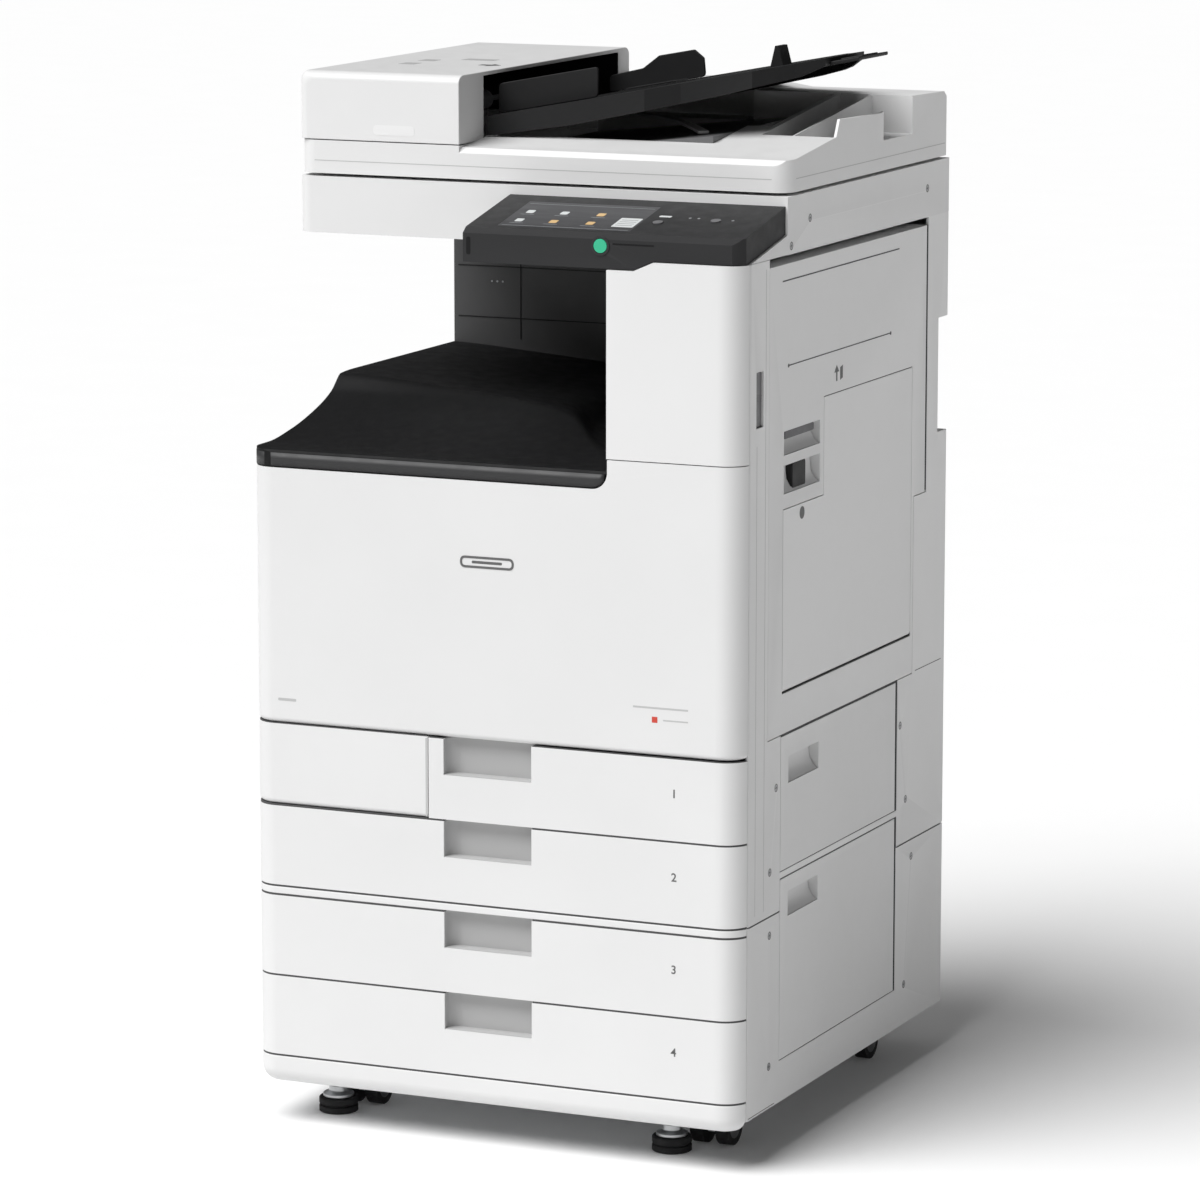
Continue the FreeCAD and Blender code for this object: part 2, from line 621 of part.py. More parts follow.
def right_door():
    """The tall door over the paper path, stepped in at its lower rear, with the bypass in it."""
    front = d.upper_front
    outline = [
        (front, d.upper_bottom), (d.upper_low_back, d.upper_bottom), (d.upper_low_back, d.upper_step + d.gap),
        (d.upper_back, d.upper_step + d.gap), (d.upper_back, d.upper_top), (front, d.upper_top),
    ]
    inner = half - d.upper_thick
    slab = prism("right_door_slab", "yz", outline, inner, half)
    pocket_x = (half - d.bypass_pocket, half + 1)
    main = block("bypass_pocket_low", pocket_x, (d.bypass_front, d.bypass_back),
                 (d.bypass_low, d.bypass_notch_low))
    upper = block("bypass_pocket_high", pocket_x, (d.bypass_notch_back, d.bypass_back),
                  (d.bypass_notch_low - 1, d.bypass_high))
    behind = block("right_door_hollow", (inner - 1, half - d.wall), (front + d.wall, d.upper_back - 14),
                   (d.bypass_high + 8, d.upper_top - d.wall))
    low_grip = recess("latch_low", (d.latch_front, d.latch_back), (d.latch_low, d.latch_mid), d.latch_deep)
    high_grip = recess("latch_high", (d.latch_front, d.latch_back), (d.latch_upper, d.latch_high),
                       d.latch_deep)
    shaped = cut("right_door_shape", slab, main, upper, behind, low_grip, high_grip)
    node("right_door", round_edges("right_door", shaped, d.door_hinge, "z", [(half, d.upper_back)]))


def bypass_tray():
    """The fold-down tray, notched round the latch, with a paper stop rib on its inner face."""
    inset = d.gap
    outline = [
        (d.bypass_front + inset, d.bypass_low + inset), (d.bypass_back - inset, d.bypass_low + inset),
        (d.bypass_back - inset, d.bypass_high - inset), (d.bypass_notch_back + inset, d.bypass_high - inset),
        (d.bypass_notch_back + inset, d.bypass_notch_low - inset),
        (d.bypass_front + inset, d.bypass_notch_low - inset),
    ]
    plate = prism("bypass_plate", "yz", outline, half - d.bypass_thick, half)
    middle = (d.bypass_front + d.bypass_back) / 2
    guides = [
        block(f"bypass_guide_{index}", (half - d.bypass_thick - 5, half - d.bypass_thick),
              (middle + reach - 4, middle + reach + 4), (d.bypass_low + 18, d.bypass_low + 90))
        for index, reach in enumerate((-150, 150))
    ]
    tray = fuse("bypass_joined", plate, *guides)
    node("bypass_tray", round_edges("bypass_tray", tray, d.cover_hinge - 1, "y",
                                    [(half, d.bypass_low + inset)]))


def power_switch():
    """The rocker and the axle that it turns on."""
    rocker = block("rocker", (half - 6.5, half - 2.5), (d.switch_front + d.seam, d.switch_back - d.seam),
                   (d.switch_low + 1.2, d.switch_high - 1.2))
    middle = (d.switch_low + d.switch_high) / 2
    axle = rod("rocker_axle", "y", (half - 5.5, d.switch_front - 2, middle), 1.8,
               d.switch_back - d.switch_front + 4)
    node("power_switch", fuse("power_switch", rocker, axle))


# ---------------------------------------------------------------- scanner
def scanner_housing():
    """The reader: a shallow case with two windows in its top, and the panel's arm."""
    case = block("reader_case", (-half, half), (d.reader_front, d.depth), (d.reader_bottom, d.reader_top))
    wall = d.reader_wall
    inside = block("reader_inside", (wall - half, half - wall), (d.reader_front + wall, d.depth - wall),
                   (d.reader_bottom + wall, d.reader_top - wall))
    windows = [block(f"window_{index}", x, (d.glass_front, d.glass_back),
                     (d.reader_top - wall - 1, d.reader_top + 1)) for index, x in enumerate(glass_spans())]
    outside = round_edges("reader_round", case, d.reader_corner, "z", [(-half, d.reader_front)])
    hollow = round_edges("reader_hollow", inside, d.reader_corner - wall, "z",
                         [(wall - half, d.reader_front + wall)])
    shell = cut("reader_shell", outside, hollow, *windows, *screw_seats("reader_seat", READER_SCREWS))
    arm_outline = [
        (d.front_thick + 2, d.reader_bottom + 0.5), (d.reader_front, d.reader_bottom + 0.5),
        (d.reader_front, d.panel_rear_low),
    ]
    arm = prism("panel_arm", "yz", arm_outline, d.step_end, half)
    rail = rod("reader_rail", "x", (wall - half, d.carriage_rail_y, carriage_axis()),
               d.carriage_rail_radius, d.width - 2 * wall)
    ledge = block("reader_ledge", (wall - half, half - wall),
                  (d.reader_front + wall, d.reader_front + wall + 20),
                  (d.reader_bottom + wall, d.carriage_low - d.air))
    posts = [
        knuckle(f"lid_post_{index}", "x", x, (d.lid_hinge_y, d.lid_hinge_z), 7, d.reader_top - 1)
        for index, x in enumerate(LID_POSTS)
    ]
    node("scanner_housing", fuse("scanner_housing", shell, arm, rail, ledge, *posts))


LID_POSTS = ((-210, -180), (180, 210))
COVER_KNUCKLES = ((210, 235), (515, 540))
TRAY_POSTS = ((199, 206), (544, 551))


def knuckle(name, along, span, axis, reach, foot):
    """An upright post with a bore for a hinge pin; axis is the pin's place across the span."""
    across, level = axis
    sides = {"x": (span, (across - reach, across + reach)), "y": ((across - reach, across + reach), span)}
    post = block(name + "_post", *sides[along], (foot, level + reach))
    length = size(span[1]) - span[0] + 2
    start = size(span[0]) - 1
    middle = (start, across, level) if along == "x" else (across, start, level)
    return cut(name, post, rod(name + "_bore", along, middle, d.pin_radius + d.fit, length))


def hinge_pin(name, along, span, axis, reach=4):
    """The pin that a knuckle holds; it reaches past the knuckle at both ends."""
    across, level = axis
    start = size(span[0]) - reach
    middle = (start, across, level) if along == "x" else (across, start, level)
    return rod(name, along, middle, d.pin_radius, size(span[1]) - span[0] + 2 * reach)


def glass_spans():
    return (-d.glass_left, d.glass_right), (-d.strip_left, -d.strip_right)


def carriage_axis():
    return d.carriage_low + d.carriage_tall / 2


def scanner_glass():
    """The platen glass and the narrow one that the document feeder reads through."""
    plates = [block(f"glass_{index}", x, (d.glass_front, d.glass_back),
                    (d.reader_top - d.reader_wall, d.reader_top)) for index, x in enumerate(glass_spans())]
    node("scanner_glass", fuse("scanner_glass", *plates))


def scan_carriage():
    bar = block("carriage_bar", (-d.carriage_left, d.carriage_wide - d.carriage_left),
                (d.reader_front + 12, d.carriage_rail_y + 12),
                (d.carriage_low, d.carriage_low + d.carriage_tall))
    lens_slot = block("carriage_slot", (d.carriage_wide / 2 - d.carriage_left - 4,
                                        d.carriage_wide / 2 - d.carriage_left + 4),
                      (d.glass_front, d.glass_back),
                      (d.carriage_low + d.carriage_tall - 12, d.carriage_low + d.carriage_tall + 1))
    bore = rod("carriage_bore", "x", (-d.carriage_left - 1, d.carriage_rail_y, carriage_axis()),
               d.carriage_rail_radius + d.fit, d.carriage_wide + 2)
    node("scan_carriage", cut("scan_carriage", bar, lens_slot, bore))


# ---------------------------------------------------------------- control panel
PANEL_FLAT = 12
panel_slope = FreeCAD.Vector(0, d.reader_front.number - PANEL_FLAT,
                             (d.panel_rear_top - d.panel_nose).number)
panel_turn = FreeCAD.Rotation(FreeCAD.Vector(0, 1, 0), panel_slope)
panel_origin = FreeCAD.Placement(
    FreeCAD.Vector(0, place("y", PANEL_FLAT).number, d.panel_nose.number), panel_turn)


def on_panel(item, x, along, lift):
    """Lays an object on the panel's slope, measured from the front edge of the slope."""
    spot = FreeCAD.Vector(size(x).number, size(along).number, size(lift).number)
    item.Placement = panel_origin.multiply(FreeCAD.Placement(spot, FreeCAD.Rotation()))
    return item


def screen_plate(name, tall):
    plate = doc.addObject("Part::Box", name)
    for side_name, value in (("Length", d.screen_wide), ("Width", d.screen_deep), ("Height", tall)):
        bind(plate, side_name, value)
    return on_panel(plate, 0, d.screen_offset, -d.screen_thick)


def panel_rod(name, x, along, radius, low, high):
    stem = doc.addObject("Part::Cylinder", name)
    bind(stem, "Radius", radius)
    bind(stem, "Height", high - size(low))
    return on_panel(stem, x, along, low)


PANEL_KEYS = {"home_key": (173, 42), "energy_key": (234, 56)}


def control_panel():
    nose = d.panel_nose
    profile = [
        (d.panel_front, d.panel_bottom), (d.front_thick, d.panel_bottom),
        (d.front_thick, d.reader_bottom + 1), (d.reader_front, d.panel_rear_low + 1),
        (d.reader_front, d.panel_rear_top), (PANEL_FLAT, nose), (d.panel_front, nose - 6),
    ]
    step = d.reader_bottom + 1
    outline = [
        (-d.panel_left, d.panel_bottom), (d.step_start, d.panel_bottom), (d.step_end, step),
        (d.panel_right, step), (d.panel_right, d.panel_rear_top + 1),
        (-d.panel_left, d.panel_rear_top + 1),
    ]
    body = common("panel_form", prism("panel_profile", "yz", profile, -d.panel_left, d.panel_right),
                  prism("panel_outline", "xz", outline, 0, d.reader_front + 1))
    rounded = common("panel_round", body, outer_form_high())
    holes = [screen_plate("screen_seat", d.screen_thick + 1)]
    for name, (x, along) in PANEL_KEYS.items():
        holes.append(panel_rod(name + "_hole", x, along, d.key_radius + d.air, -7, 2))
        node(name, panel_rod(name, x, along, d.key_radius, -4, 1))
    holes.append(rod("start_hole", "y", (d.start_x, 0, d.start_z), d.start_radius + d.air, 14))
    node("start_key", rod("start_key", "y", (d.start_x, d.panel_front - 1, d.start_z),
                          d.start_radius, size(8)))
    node("control_panel_housing", cut("control_panel_housing", rounded, *holes))
    node("touch_screen", screen_plate("touch_screen", d.screen_thick))


def outer_form_high():
    """The plan of the machine again, at the height of the control panel."""
    return rounded_form("panel_plan", size(0), d.panel_bottom - 1, d.panel_rear_top + 2)


# ---------------------------------------------------------------- document feeder
def lid_plan(name, low, high):
    plan = block(name + "_block", (-half, half), (d.lid_front, d.lid_back), (low, high))
    corners = [(-half, d.lid_front), (half, d.lid_front)]
    return round_edges(name, plan, d.lid_corner, "z", corners)


def adf_lid():
    """The lid over the glass: slab, rim, ramp with the sheet well, clip pockets, feeder base."""
    slab = block("lid_slab", (-half, half), (d.lid_front, d.lid_back), (d.lid_bottom, d.slab_top))
    ramp_outline = [
        (d.lid_front, d.slab_top - 1), (d.lid_front, d.rim_top - 6), (d.lid_front + 6, d.rim_top),
        (d.ramp_front, d.rim_top + 1), (d.ramp_back, d.ramp_top), (d.lid_back - 8, d.ridge_top + 2),
        (d.lid_back, d.ridge_top - 4), (d.lid_back, d.slab_top - 1),
    ]
    ramp = prism("lid_ramp", "yz", ramp_outline, -d.feeder_right, half)
    cheek_outline = [
        (256, d.rim_top), (274, d.cheek_top + 3), (390, d.cheek_top), (d.ramp_back, d.cheek_top),
        (d.ramp_back, d.rim_top),
    ]
    cheek = prism("lid_cheek", "yz", cheek_outline, half - d.wall, half)
    base = block("feeder_base", (-half, -d.feeder_right), (d.lid_front, d.feeder_back),
                 (d.slab_top, d.cover_split - d.gap))
    mouth = block("feeder_mouth", (-half + 30, 1 - d.feeder_right), (d.tray_near - 2, d.tray_far + 2),
                  (d.mouth_low, d.cover_split))
    well_back = block("well_back", (-d.feeder_right - 1, 100), (d.ramp_back - 1, d.hump_front),
                      (d.mouth_low + 22, d.feeder_top))
    hump_outline = [
        (-d.feeder_right + 1, d.slab_top), (-d.feeder_right + 1, d.feeder_top - 7), (31, 1152), (60, 1142),
        (82, 1131), (130, 1124), (130, d.slab_top),
    ]
    hump = prism("rear_hump", "xz", hump_outline, d.hump_front, d.lid_back - 6)
    posts = [
        cut(f"post_{index}", block(f"post_block_{index}", (-172, -148), (y, y + 4), (d.mouth_low - 1, 1126)),
            block(f"post_slot_{index}", (-163.05, -156.95), (y - 1, y + 5), (1116.95, 1127)))
        for index, y in enumerate((212, 534))
    ]
    well = block("sheet_well", (-d.feeder_right - 1, d.well_right), (d.well_front, d.ramp_back),
                 (d.well_floor, d.ramp_top + 5))
    well_step = block("sheet_well_step", (d.well_right - 1, d.well_far_right), (d.well_step, d.ramp_back),
                      (d.well_floor, d.ramp_top + 5))
    pockets = [
        block("pocket_inner", (d.pocket_left, d.pocket_rib - 1), (d.pocket_front, d.ramp_back),
              (d.pocket_floor, d.ramp_top + 5)),
        block("pocket_outer", (d.pocket_rib + 1, half - d.wall), (d.pocket_front, d.ramp_back),
              (d.pocket_floor, d.ramp_top + 5)),
        block("cheek_gap", (half - d.wall - 1, half + 1), (d.cheek_notch, d.ramp_back),
              (d.pocket_floor, d.ramp_top + 5)),
    ]
    pad_seat = block("pad_seat", (-d.glass_left, d.glass_right), (d.glass_front, d.glass_back),
                     (d.lid_bottom - 1, d.lid_bottom + 4))
    notches = [block(f"post_notch_{index}", (size(x[0]) - 2, size(x[1]) + 2), (584, 605),
                     (d.lid_bottom - 1, 1072)) for index, x in enumerate(LID_POSTS)]
    whole = fuse("lid_whole", slab, ramp, cheek, base, hump)
    carved = cut("lid_carved", whole, mouth, well, well_step, well_back, *pockets, pad_seat, *notches)
    rounded = common("lid_rounded", carved, lid_plan("lid_plan", d.lid_bottom - 1, d.ramp_top + 6))
    pad = block("platen_pad", (-d.glass_left, d.glass_right), (d.glass_front, d.glass_back),
                (d.reader_top + d.air, d.lid_bottom + 4))
    pins = [hinge_pin(f"lid_pin_{index}", "x", x, (d.lid_hinge_y, d.lid_hinge_z))
            for index, x in enumerate(LID_POSTS)]
    cover_axis = (d.door_hinge - half, d.cover_split + d.door_hinge)
    knuckles = [knuckle(f"cover_knuckle_{index}", "y", y, cover_axis, 4.4, d.cover_split - d.gap - 1)
                for index, y in enumerate(COVER_KNUCKLES)]
    tray_axis = (d.tray_hinge_x, d.tray_hinge_z)
    tray_posts = [knuckle(f"tray_post_{index}", "y", y, tray_axis, 5, foot)
                  for index, (y, foot) in enumerate(zip(TRAY_POSTS, (1088, 1091)))]
    node("adf_lid", fuse("adf_lid", rounded, pad, *posts, *pins, *knuckles, *tray_posts))


def adf_exit_tray():
    """The dark sheet bed in the well, rising to the right."""
    low = d.well_floor
    outline = [
        (-d.feeder_right, low), (d.well_right, low), (d.well_right, d.ramp_top - 26),
        (-d.feeder_right, low + 4),
    ]
    bed = prism("exit_bed", "xz", outline, d.well_front, d.ramp_back)
    step_outline = [
        (d.well_right - 1, low), (d.well_far_right, low), (d.well_far_right, d.ramp_top - 18),
        (d.well_right - 1, d.ramp_top - 26.3),
    ]
    step = prism("exit_step", "xz", step_outline, d.well_step, d.ramp_back)
    node("adf_exit_tray", fuse("adf_exit_tray", bed, step))


def adf_top_cover():
    """The feeder's cover, open to the right where the originals go in."""
    low = d.cover_split
    outline = [
        (d.door_hinge - half, low), (d.door_hinge * 0.3 - half, low + d.door_hinge * 0.3),
        (-half, low + d.door_hinge), (-half, low + 45), (-half + 6, d.feeder_top - 12),
        (-half + 20, d.feeder_top), (-d.feeder_right, d.feeder_top), (-d.feeder_right, low),
    ]
    form = prism("cover_form", "xz", outline, d.lid_front, d.feeder_back)
    plan = lid_plan("cover_plan", low - 1, d.feeder_top + 1)
    top = d.mouth_roof
    inside = block("cover_inside", (d.cover_wall * 4 - half, 1 - d.feeder_right),
                   (d.tray_near - 2, d.tray_far + 2), (low - 1, top))
    front = block("cover_front_hollow", (d.cover_wall * 4 - half, -d.feeder_right - d.cover_wall),
                  (d.lid_front + d.cover_wall, d.tray_near - 2 - d.cover_wall), (low - 1, top))
    notches = [block(f"cover_notch_{index}", (-half - 1, 17 - half), (size(y[0]) - 2, size(y[1]) + 2),
                     (low - 1, low + d.door_hinge + 7)) for index, y in enumerate(COVER_KNUCKLES)]
    pins = [hinge_pin(f"cover_pin_{index}", "y", y, (d.door_hinge - half, low + d.door_hinge), 6)
            for index, y in enumerate(COVER_KNUCKLES)]
    shell = cut("cover_shell", common("cover_rounded", form, plan), inside, front, *notches)
    node("adf_top_cover", fuse("adf_top_cover", shell, *pins))


def bed_level(x):
    """Height of the input tray's surface, which climbs to the right."""
    return 1114 + (x + 94) * 0.1865


def slanted(name, left, right, low, high, y):
    """A bar that follows the input tray's slope, between two heights above its surface."""
    outline = [
        (left, bed_level(left) + low), (right, bed_level(right) + low),
        (right, bed_level(right) + high), (left, bed_level(left) + high),
    ]
    return prism(name, "xz", outline, *y)


def tray_plan(inset):
    """Half of the input tray's plan, drawn from its middle line, and its mirror image."""
    middle = d.tray_middle.number
    reach = [(-95, 182), (94, 182), (130, 161), (205, 139), (232, 85), (259, 57)]
    front = [(x - (inset if x > 0 else 0), middle - (y - inset)) for x, y in reach]
    return front + [(x, 2 * middle - y) for x, y in reversed(front)]


def adf_input_tray():
    """The black tray for the originals: a sloping plate with skirts and a stop at its end."""
    outline = [
        (-94, 1093.5), (-84, 1093.5), (10, 1108), (72, 1121), (96, 1126), (173, 1143), (236, 1160),
        (258, bed_level(258) - 8), (258, bed_level(258)), (-94, bed_level(-94)),
    ]
    form = prism("input_form", "xz", outline, d.tray_near, d.tray_far)
    under = [(-95, 1092), (260, 1092), (260, bed_level(260) - 4), (-95, bed_level(-95) - 4)]
    hollow_form = prism("input_hollow_form", "xz", under, d.tray_near + 4, d.tray_far - 4)
    hollow = common("input_hollow", hollow_form, prism("input_hollow_plan", "xy", tray_plan(4), 1090, 1200))
    plate = common("input_plate", form, prism("input_plan", "xy", tray_plan(0), 1090, 1200))
    stop = prism("input_stop", "xz", [(174, bed_level(174) - 1), (190, bed_level(190) - 1),
                                      (184, 1188), (180, 1188)], 362, 388)
    tray_axis = (d.tray_hinge_x, d.tray_hinge_z)
    pins = [hinge_pin(f"tray_pin_{index}", "y", y, tray_axis, 1.5) for index, y in enumerate(TRAY_POSTS)]
    middle, half_width = d.tray_middle, 44
    slot_room = 0.5
    slot = slanted("extension_slot", 200, 300, -8.3 - slot_room, -4,
                   (middle - half_width - slot_room, middle + half_width + slot_room))
    shell = cut("input_shell", plate, hollow, slot)
    node("adf_input_tray", fuse("adf_input_tray", shell, stop, *pins))
    node("adf_tray_extension", slanted("adf_tray_extension", 120, 292, -8.3, -4.3,
                                       (middle - half_width, middle + half_width)))
    reach = 148
    for end, y in (("front", middle - reach - 6), ("rear", middle + reach)):
        node(f"adf_guide_{end}", slanted(f"adf_guide_{end}", -92, 28, d.air, d.guide_tall, (y, y + 6)))


def adf_feed_roller():
    shaft = rod("feed_shaft", "y", (-160, 208, 1120), 3, 334)
    tyres = [rod(f"feed_tyre_{index}", "y", (-160, y, 1120), 11, 30) for index, y in enumerate((300, 420))]
    node("adf_feed_roller", fuse("adf_feed_roller", shaft, *tyres))


# ---------------------------------------------------------------- works inside
DRUM_X, DRUM_Z, DRUM_RADIUS = 178, 600, 15
FUSER_X, FUSER_Z, FUSER_RADIUS = 172, 800, 14
UNIT_ENDS = (60, 540)                    # front and back of the imaging unit
END_PLATES, PLATE_THICK = (66, 531), 3   # where the plates that carry the shafts stand
HALF_SLOT = 4.05                         # half the width of a shaft's slot
SHAFT_START, SHAFT_LONG, SHAFT_RADIUS = 60, 480, 4
BARREL_START, BARREL_LONG = 75, 450
PLATE_HALF, PLATE_RISE = 24, 20          # half the width of an end plate, its height over the axis


def axle_pair(name, x, z, half_slot, y_pair, width):
    """Two end plates with square slots that carry a shaft."""
    return [
        cut(f"{name}_{index}", block(f"{name}_plate_{index}", (x - width, x + width), (y, y + PLATE_THICK),
                                     (z - PLATE_HALF, z + PLATE_RISE)),
            block(f"{name}_slot_{index}", (x - half_slot, x + half_slot), (y - 1, y + PLATE_THICK + 1),
                  (z - half_slot, z + PLATE_RISE + 1)))
        for index, y in enumerate(y_pair)
    ]


def developing_unit():
    """The imaging unit: a case with a cradle for the drum at its right-hand end."""
    left, case_right, cradle_right, laser_right = -200, 150, 205, 60
    laser_low, laser_high, case_low, case_high, cradle_low = 480, 540, 560, 640, 574
    case = block("developer_case", (left, case_right), UNIT_ENDS, (case_low, case_high))
    floor = block("developer_floor", (case_right, cradle_right), UNIT_ENDS,
                  (cradle_low, cradle_low + PLATE_THICK))
    ends = axle_pair("drum_end", DRUM_X, DRUM_Z, HALF_SLOT, END_PLATES, PLATE_HALF)
    laser = block("laser_unit", (left, laser_right), UNIT_ENDS, (laser_low, laser_high))
    legs = block("laser_link", (-120, -60), (250, 350), (laser_high, case_low))
    deck = d.cover_seam - 4 + d.plate
    feet = [block(f"laser_foot_{index}", (x, x + 40), (100, 500), (deck, laser_low))
            for index, x in enumerate((-190, 10))]
    node("developing_unit", fuse("developing_unit", case, floor, *ends, laser, legs, *feet))
    shaft = rod("drum_shaft", "y", (DRUM_X, SHAFT_START, DRUM_Z), SHAFT_RADIUS, SHAFT_LONG)
    drum = rod("drum_body", "y", (DRUM_X, BARREL_START, DRUM_Z), DRUM_RADIUS, BARREL_LONG)
    node("photosensitive_drum", fuse("photosensitive_drum", shaft, drum))


def fixing_unit():
    """The fuser: a tray with end plates, and its two rollers side by side."""
    pair_x = (FUSER_X, FUSER_X + 2 * FUSER_RADIUS + d.air)
    wall = d.frame_right - d.plate
    left, low = FUSER_X - PLATE_HALF, FUSER_Z - PLATE_HALF
    floor_ends = (END_PLATES[0], END_PLATES[1] + PLATE_THICK)
    floor = block("fuser_floor", (left, wall), floor_ends, (low, low + 4))
    ends = []
    for index, y in enumerate(END_PLATES):
        plate = block(f"fuser_end_{index}", (left, wall), (y, y + PLATE_THICK), (low, FUSER_Z + PLATE_RISE))
        slots = [block(f"fuser_slot_{index}_{place}", (x - HALF_SLOT, x + HALF_SLOT),
                       (y - 1, y + PLATE_THICK + 1), (FUSER_Z - HALF_SLOT, FUSER_Z + PLATE_RISE + 1))
                 for place, x in enumerate(pair_x)]
        ends.append(cut(f"fuser_plate_{index}", plate, *slots))
    node("fixing_unit_frame", fuse("fixing_unit_frame", floor, *ends))
    for name, x in zip(("fixing_heat_roller", "fixing_pressure_roller"), pair_x):
        shaft = rod(name + "_shaft", "y", (x, SHAFT_START, FUSER_Z), SHAFT_RADIUS, SHAFT_LONG)
        barrel = rod(name + "_barrel", "y", (x, BARREL_START, FUSER_Z), FUSER_RADIUS, BARREL_LONG)
        node(name, fuse(name, shaft, barrel))


def electrics():
    """The power supply on the rear plate, the drive case beside it, and the mains inlet."""
    cases = [
        block(word, x, (d.frame_back, d.frame_back + deep), z)
        for word, x, deep, z in (("supply_case", (-120, 20), 30, (300, 440)),
                                 ("drive_case", (60, 220), 30, (470, 720)),
                                 ("board_case", (-240, 20), 20, (480, 720)))
    ]
    node("power_supply", fuse("power_supply", *cases))
    rim_x, rim_z, socket_deep, pin_wide, pin_z = 8, 6, 18, 2, (110, 116)
    inlet = block("inlet_block", INLET_X, (d.frame_back, d.depth), INLET_Z)
    socket = block("inlet_socket", (INLET_X[0] + rim_x, INLET_X[1] - rim_x),
                   (d.depth - socket_deep, d.depth + 1), (INLET_Z[0] + rim_z, INLET_Z[1] - rim_z))
    pins = [block(f"inlet_pin_{index}", (x, x + pin_wide), (d.depth - socket_deep - 1, d.depth - 4), pin_z)
            for index, x in enumerate((-225, -217, -209))]
    node("mains_inlet", fuse("mains_inlet", cut("inlet_shell", inlet, socket), *pins))


# ---------------------------------------------------------------- casters and feet
def fork(name, x, wheel_y, web_y, stem_y):
    """A caster's arm: a central web with the axle's hole, a round head and a short stem."""
    half_web = d.fork_thick / 2
    low = d.wheel_radius - 8
    head = d.fork_top - 5
    web = block(name + "_web", (x - half_web, x + half_web), web_y, (low, head))
    web_bore = rod(name + "_bore", "x", (x - half_web - 1, wheel_y, d.wheel_radius),
                   d.axle_radius + d.fit, d.fork_thick + 2)
    plate = rod(name + "_head", "z", (x, stem_y, head), 20, 5)
    stem = rod(name + "_stem", "z", (x, stem_y, d.fork_top), 6, d.frame_bottom - d.fork_top - d.air)
    return fuse(name + "_whole", cut(name + "_arm", web, web_bore), plate, stem)


def twin_wheel(name, x, y):
    """Two tyres on one axle."""
    reach = d.wheel_inner + d.wheel_wide
    axle = rod(name + "_axle", "x", (x - reach, y, d.wheel_radius), d.axle_radius, reach * 2)
    tyres = [rod(f"{name}_tyre_{index}", "x", (start, y, d.wheel_radius), d.wheel_radius, d.wheel_wide)
             for index, start in enumerate((x - reach, x + d.wheel_inner))]
    node(name, fuse(name, axle, *tyres))


def running_gear():
    """Fixed twin casters at the front, swivelling ones at the rear, and two levelling feet."""
    fittings = []
    front, back = d.caster_front_y, d.caster_rear_y
    near, far = 9, 30
    for word, x in (("left", -d.caster_x), ("right", d.caster_x)):
        fittings.append(fork(f"front_fork_{word}", x, front, (front - near, front + far),
                             front + d.trail))
        twin_wheel(f"caster_wheel_front_{word}", x, front)
        name = f"caster_fork_rear_{word}"
        node(name, fork(name, x, back, (back - far, back + near), back - d.trail))
        twin_wheel(f"caster_wheel_rear_{word}", x, back)
    for word, x in (("left", -d.foot_left_x), ("right", d.foot_right_x)):
        pad = rod(f"foot_pad_{word}", "z", (x, d.foot_y, 0), d.foot_radius, d.foot_tall)
        stem = rod(f"foot_stem_{word}", "z", (x, d.foot_y, d.foot_tall), d.foot_stem,
                   d.frame_bottom - d.foot_tall - d.air)
        node(f"levelling_foot_{word}", fuse(f"levelling_foot_{word}", pad, stem))
        outside = rod(f"collar_{word}", "z", (x, d.foot_y, d.collar_low), d.collar_radius,
                      d.frame_bottom - d.collar_low)
        bore = rod(f"collar_bore_{word}", "z", (x, d.foot_y, d.collar_low - 1), d.foot_stem + d.fit,
                   d.frame_bottom - d.collar_low + 1)
        fittings.append(cut(f"collar_cut_{word}", outside, bore))
    node("base_fittings", fuse("base_fittings", *fittings))


# ---------------------------------------------------------------- build, check and write
main_frame()
front_trim()
side_covers()
rear_covers()
cover_screws()
pillar_cover()
front_cover()
waste_toner_cover()
for row_number in row_levels:
    cassette(row_number)
    pickup_roller(row_number)
output_tray()
cavity_walls()
low_door("lower_right_door", d.low_door_bottom, d.low_door_top - d.gap / 2,
         (d.low_pull_low, d.low_pull_high))
low_door("middle_right_door", d.mid_door_bottom, d.mid_door_top, (d.mid_pull_low, d.mid_pull_high))
right_door()
bypass_tray()
power_switch()
scanner_housing()
scanner_glass()
scan_carriage()
control_panel()
adf_lid()
adf_exit_tray()
adf_top_cover()
adf_input_tray()
adf_feed_roller()
developing_unit()
fixing_unit()
electrics()
running_gear()
doc.recompute()

for item in doc.Objects:
    faults = [state for state in item.State if state in ("Invalid", "Error")]
    if faults:
        raise RuntimeError(f"{item.Name} is {faults}")
for item in nodes:
    if item.Shape.isNull() or not item.Shape.isValid():
        raise RuntimeError(f"{item.Label} has no valid shape")
    item.Shape.exportStep(f"parts/{item.Label}.step")
print(len(nodes), "sub-parts written")
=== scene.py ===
import bmesh
import bpy
import json
import math
from mathutils import Matrix, Vector


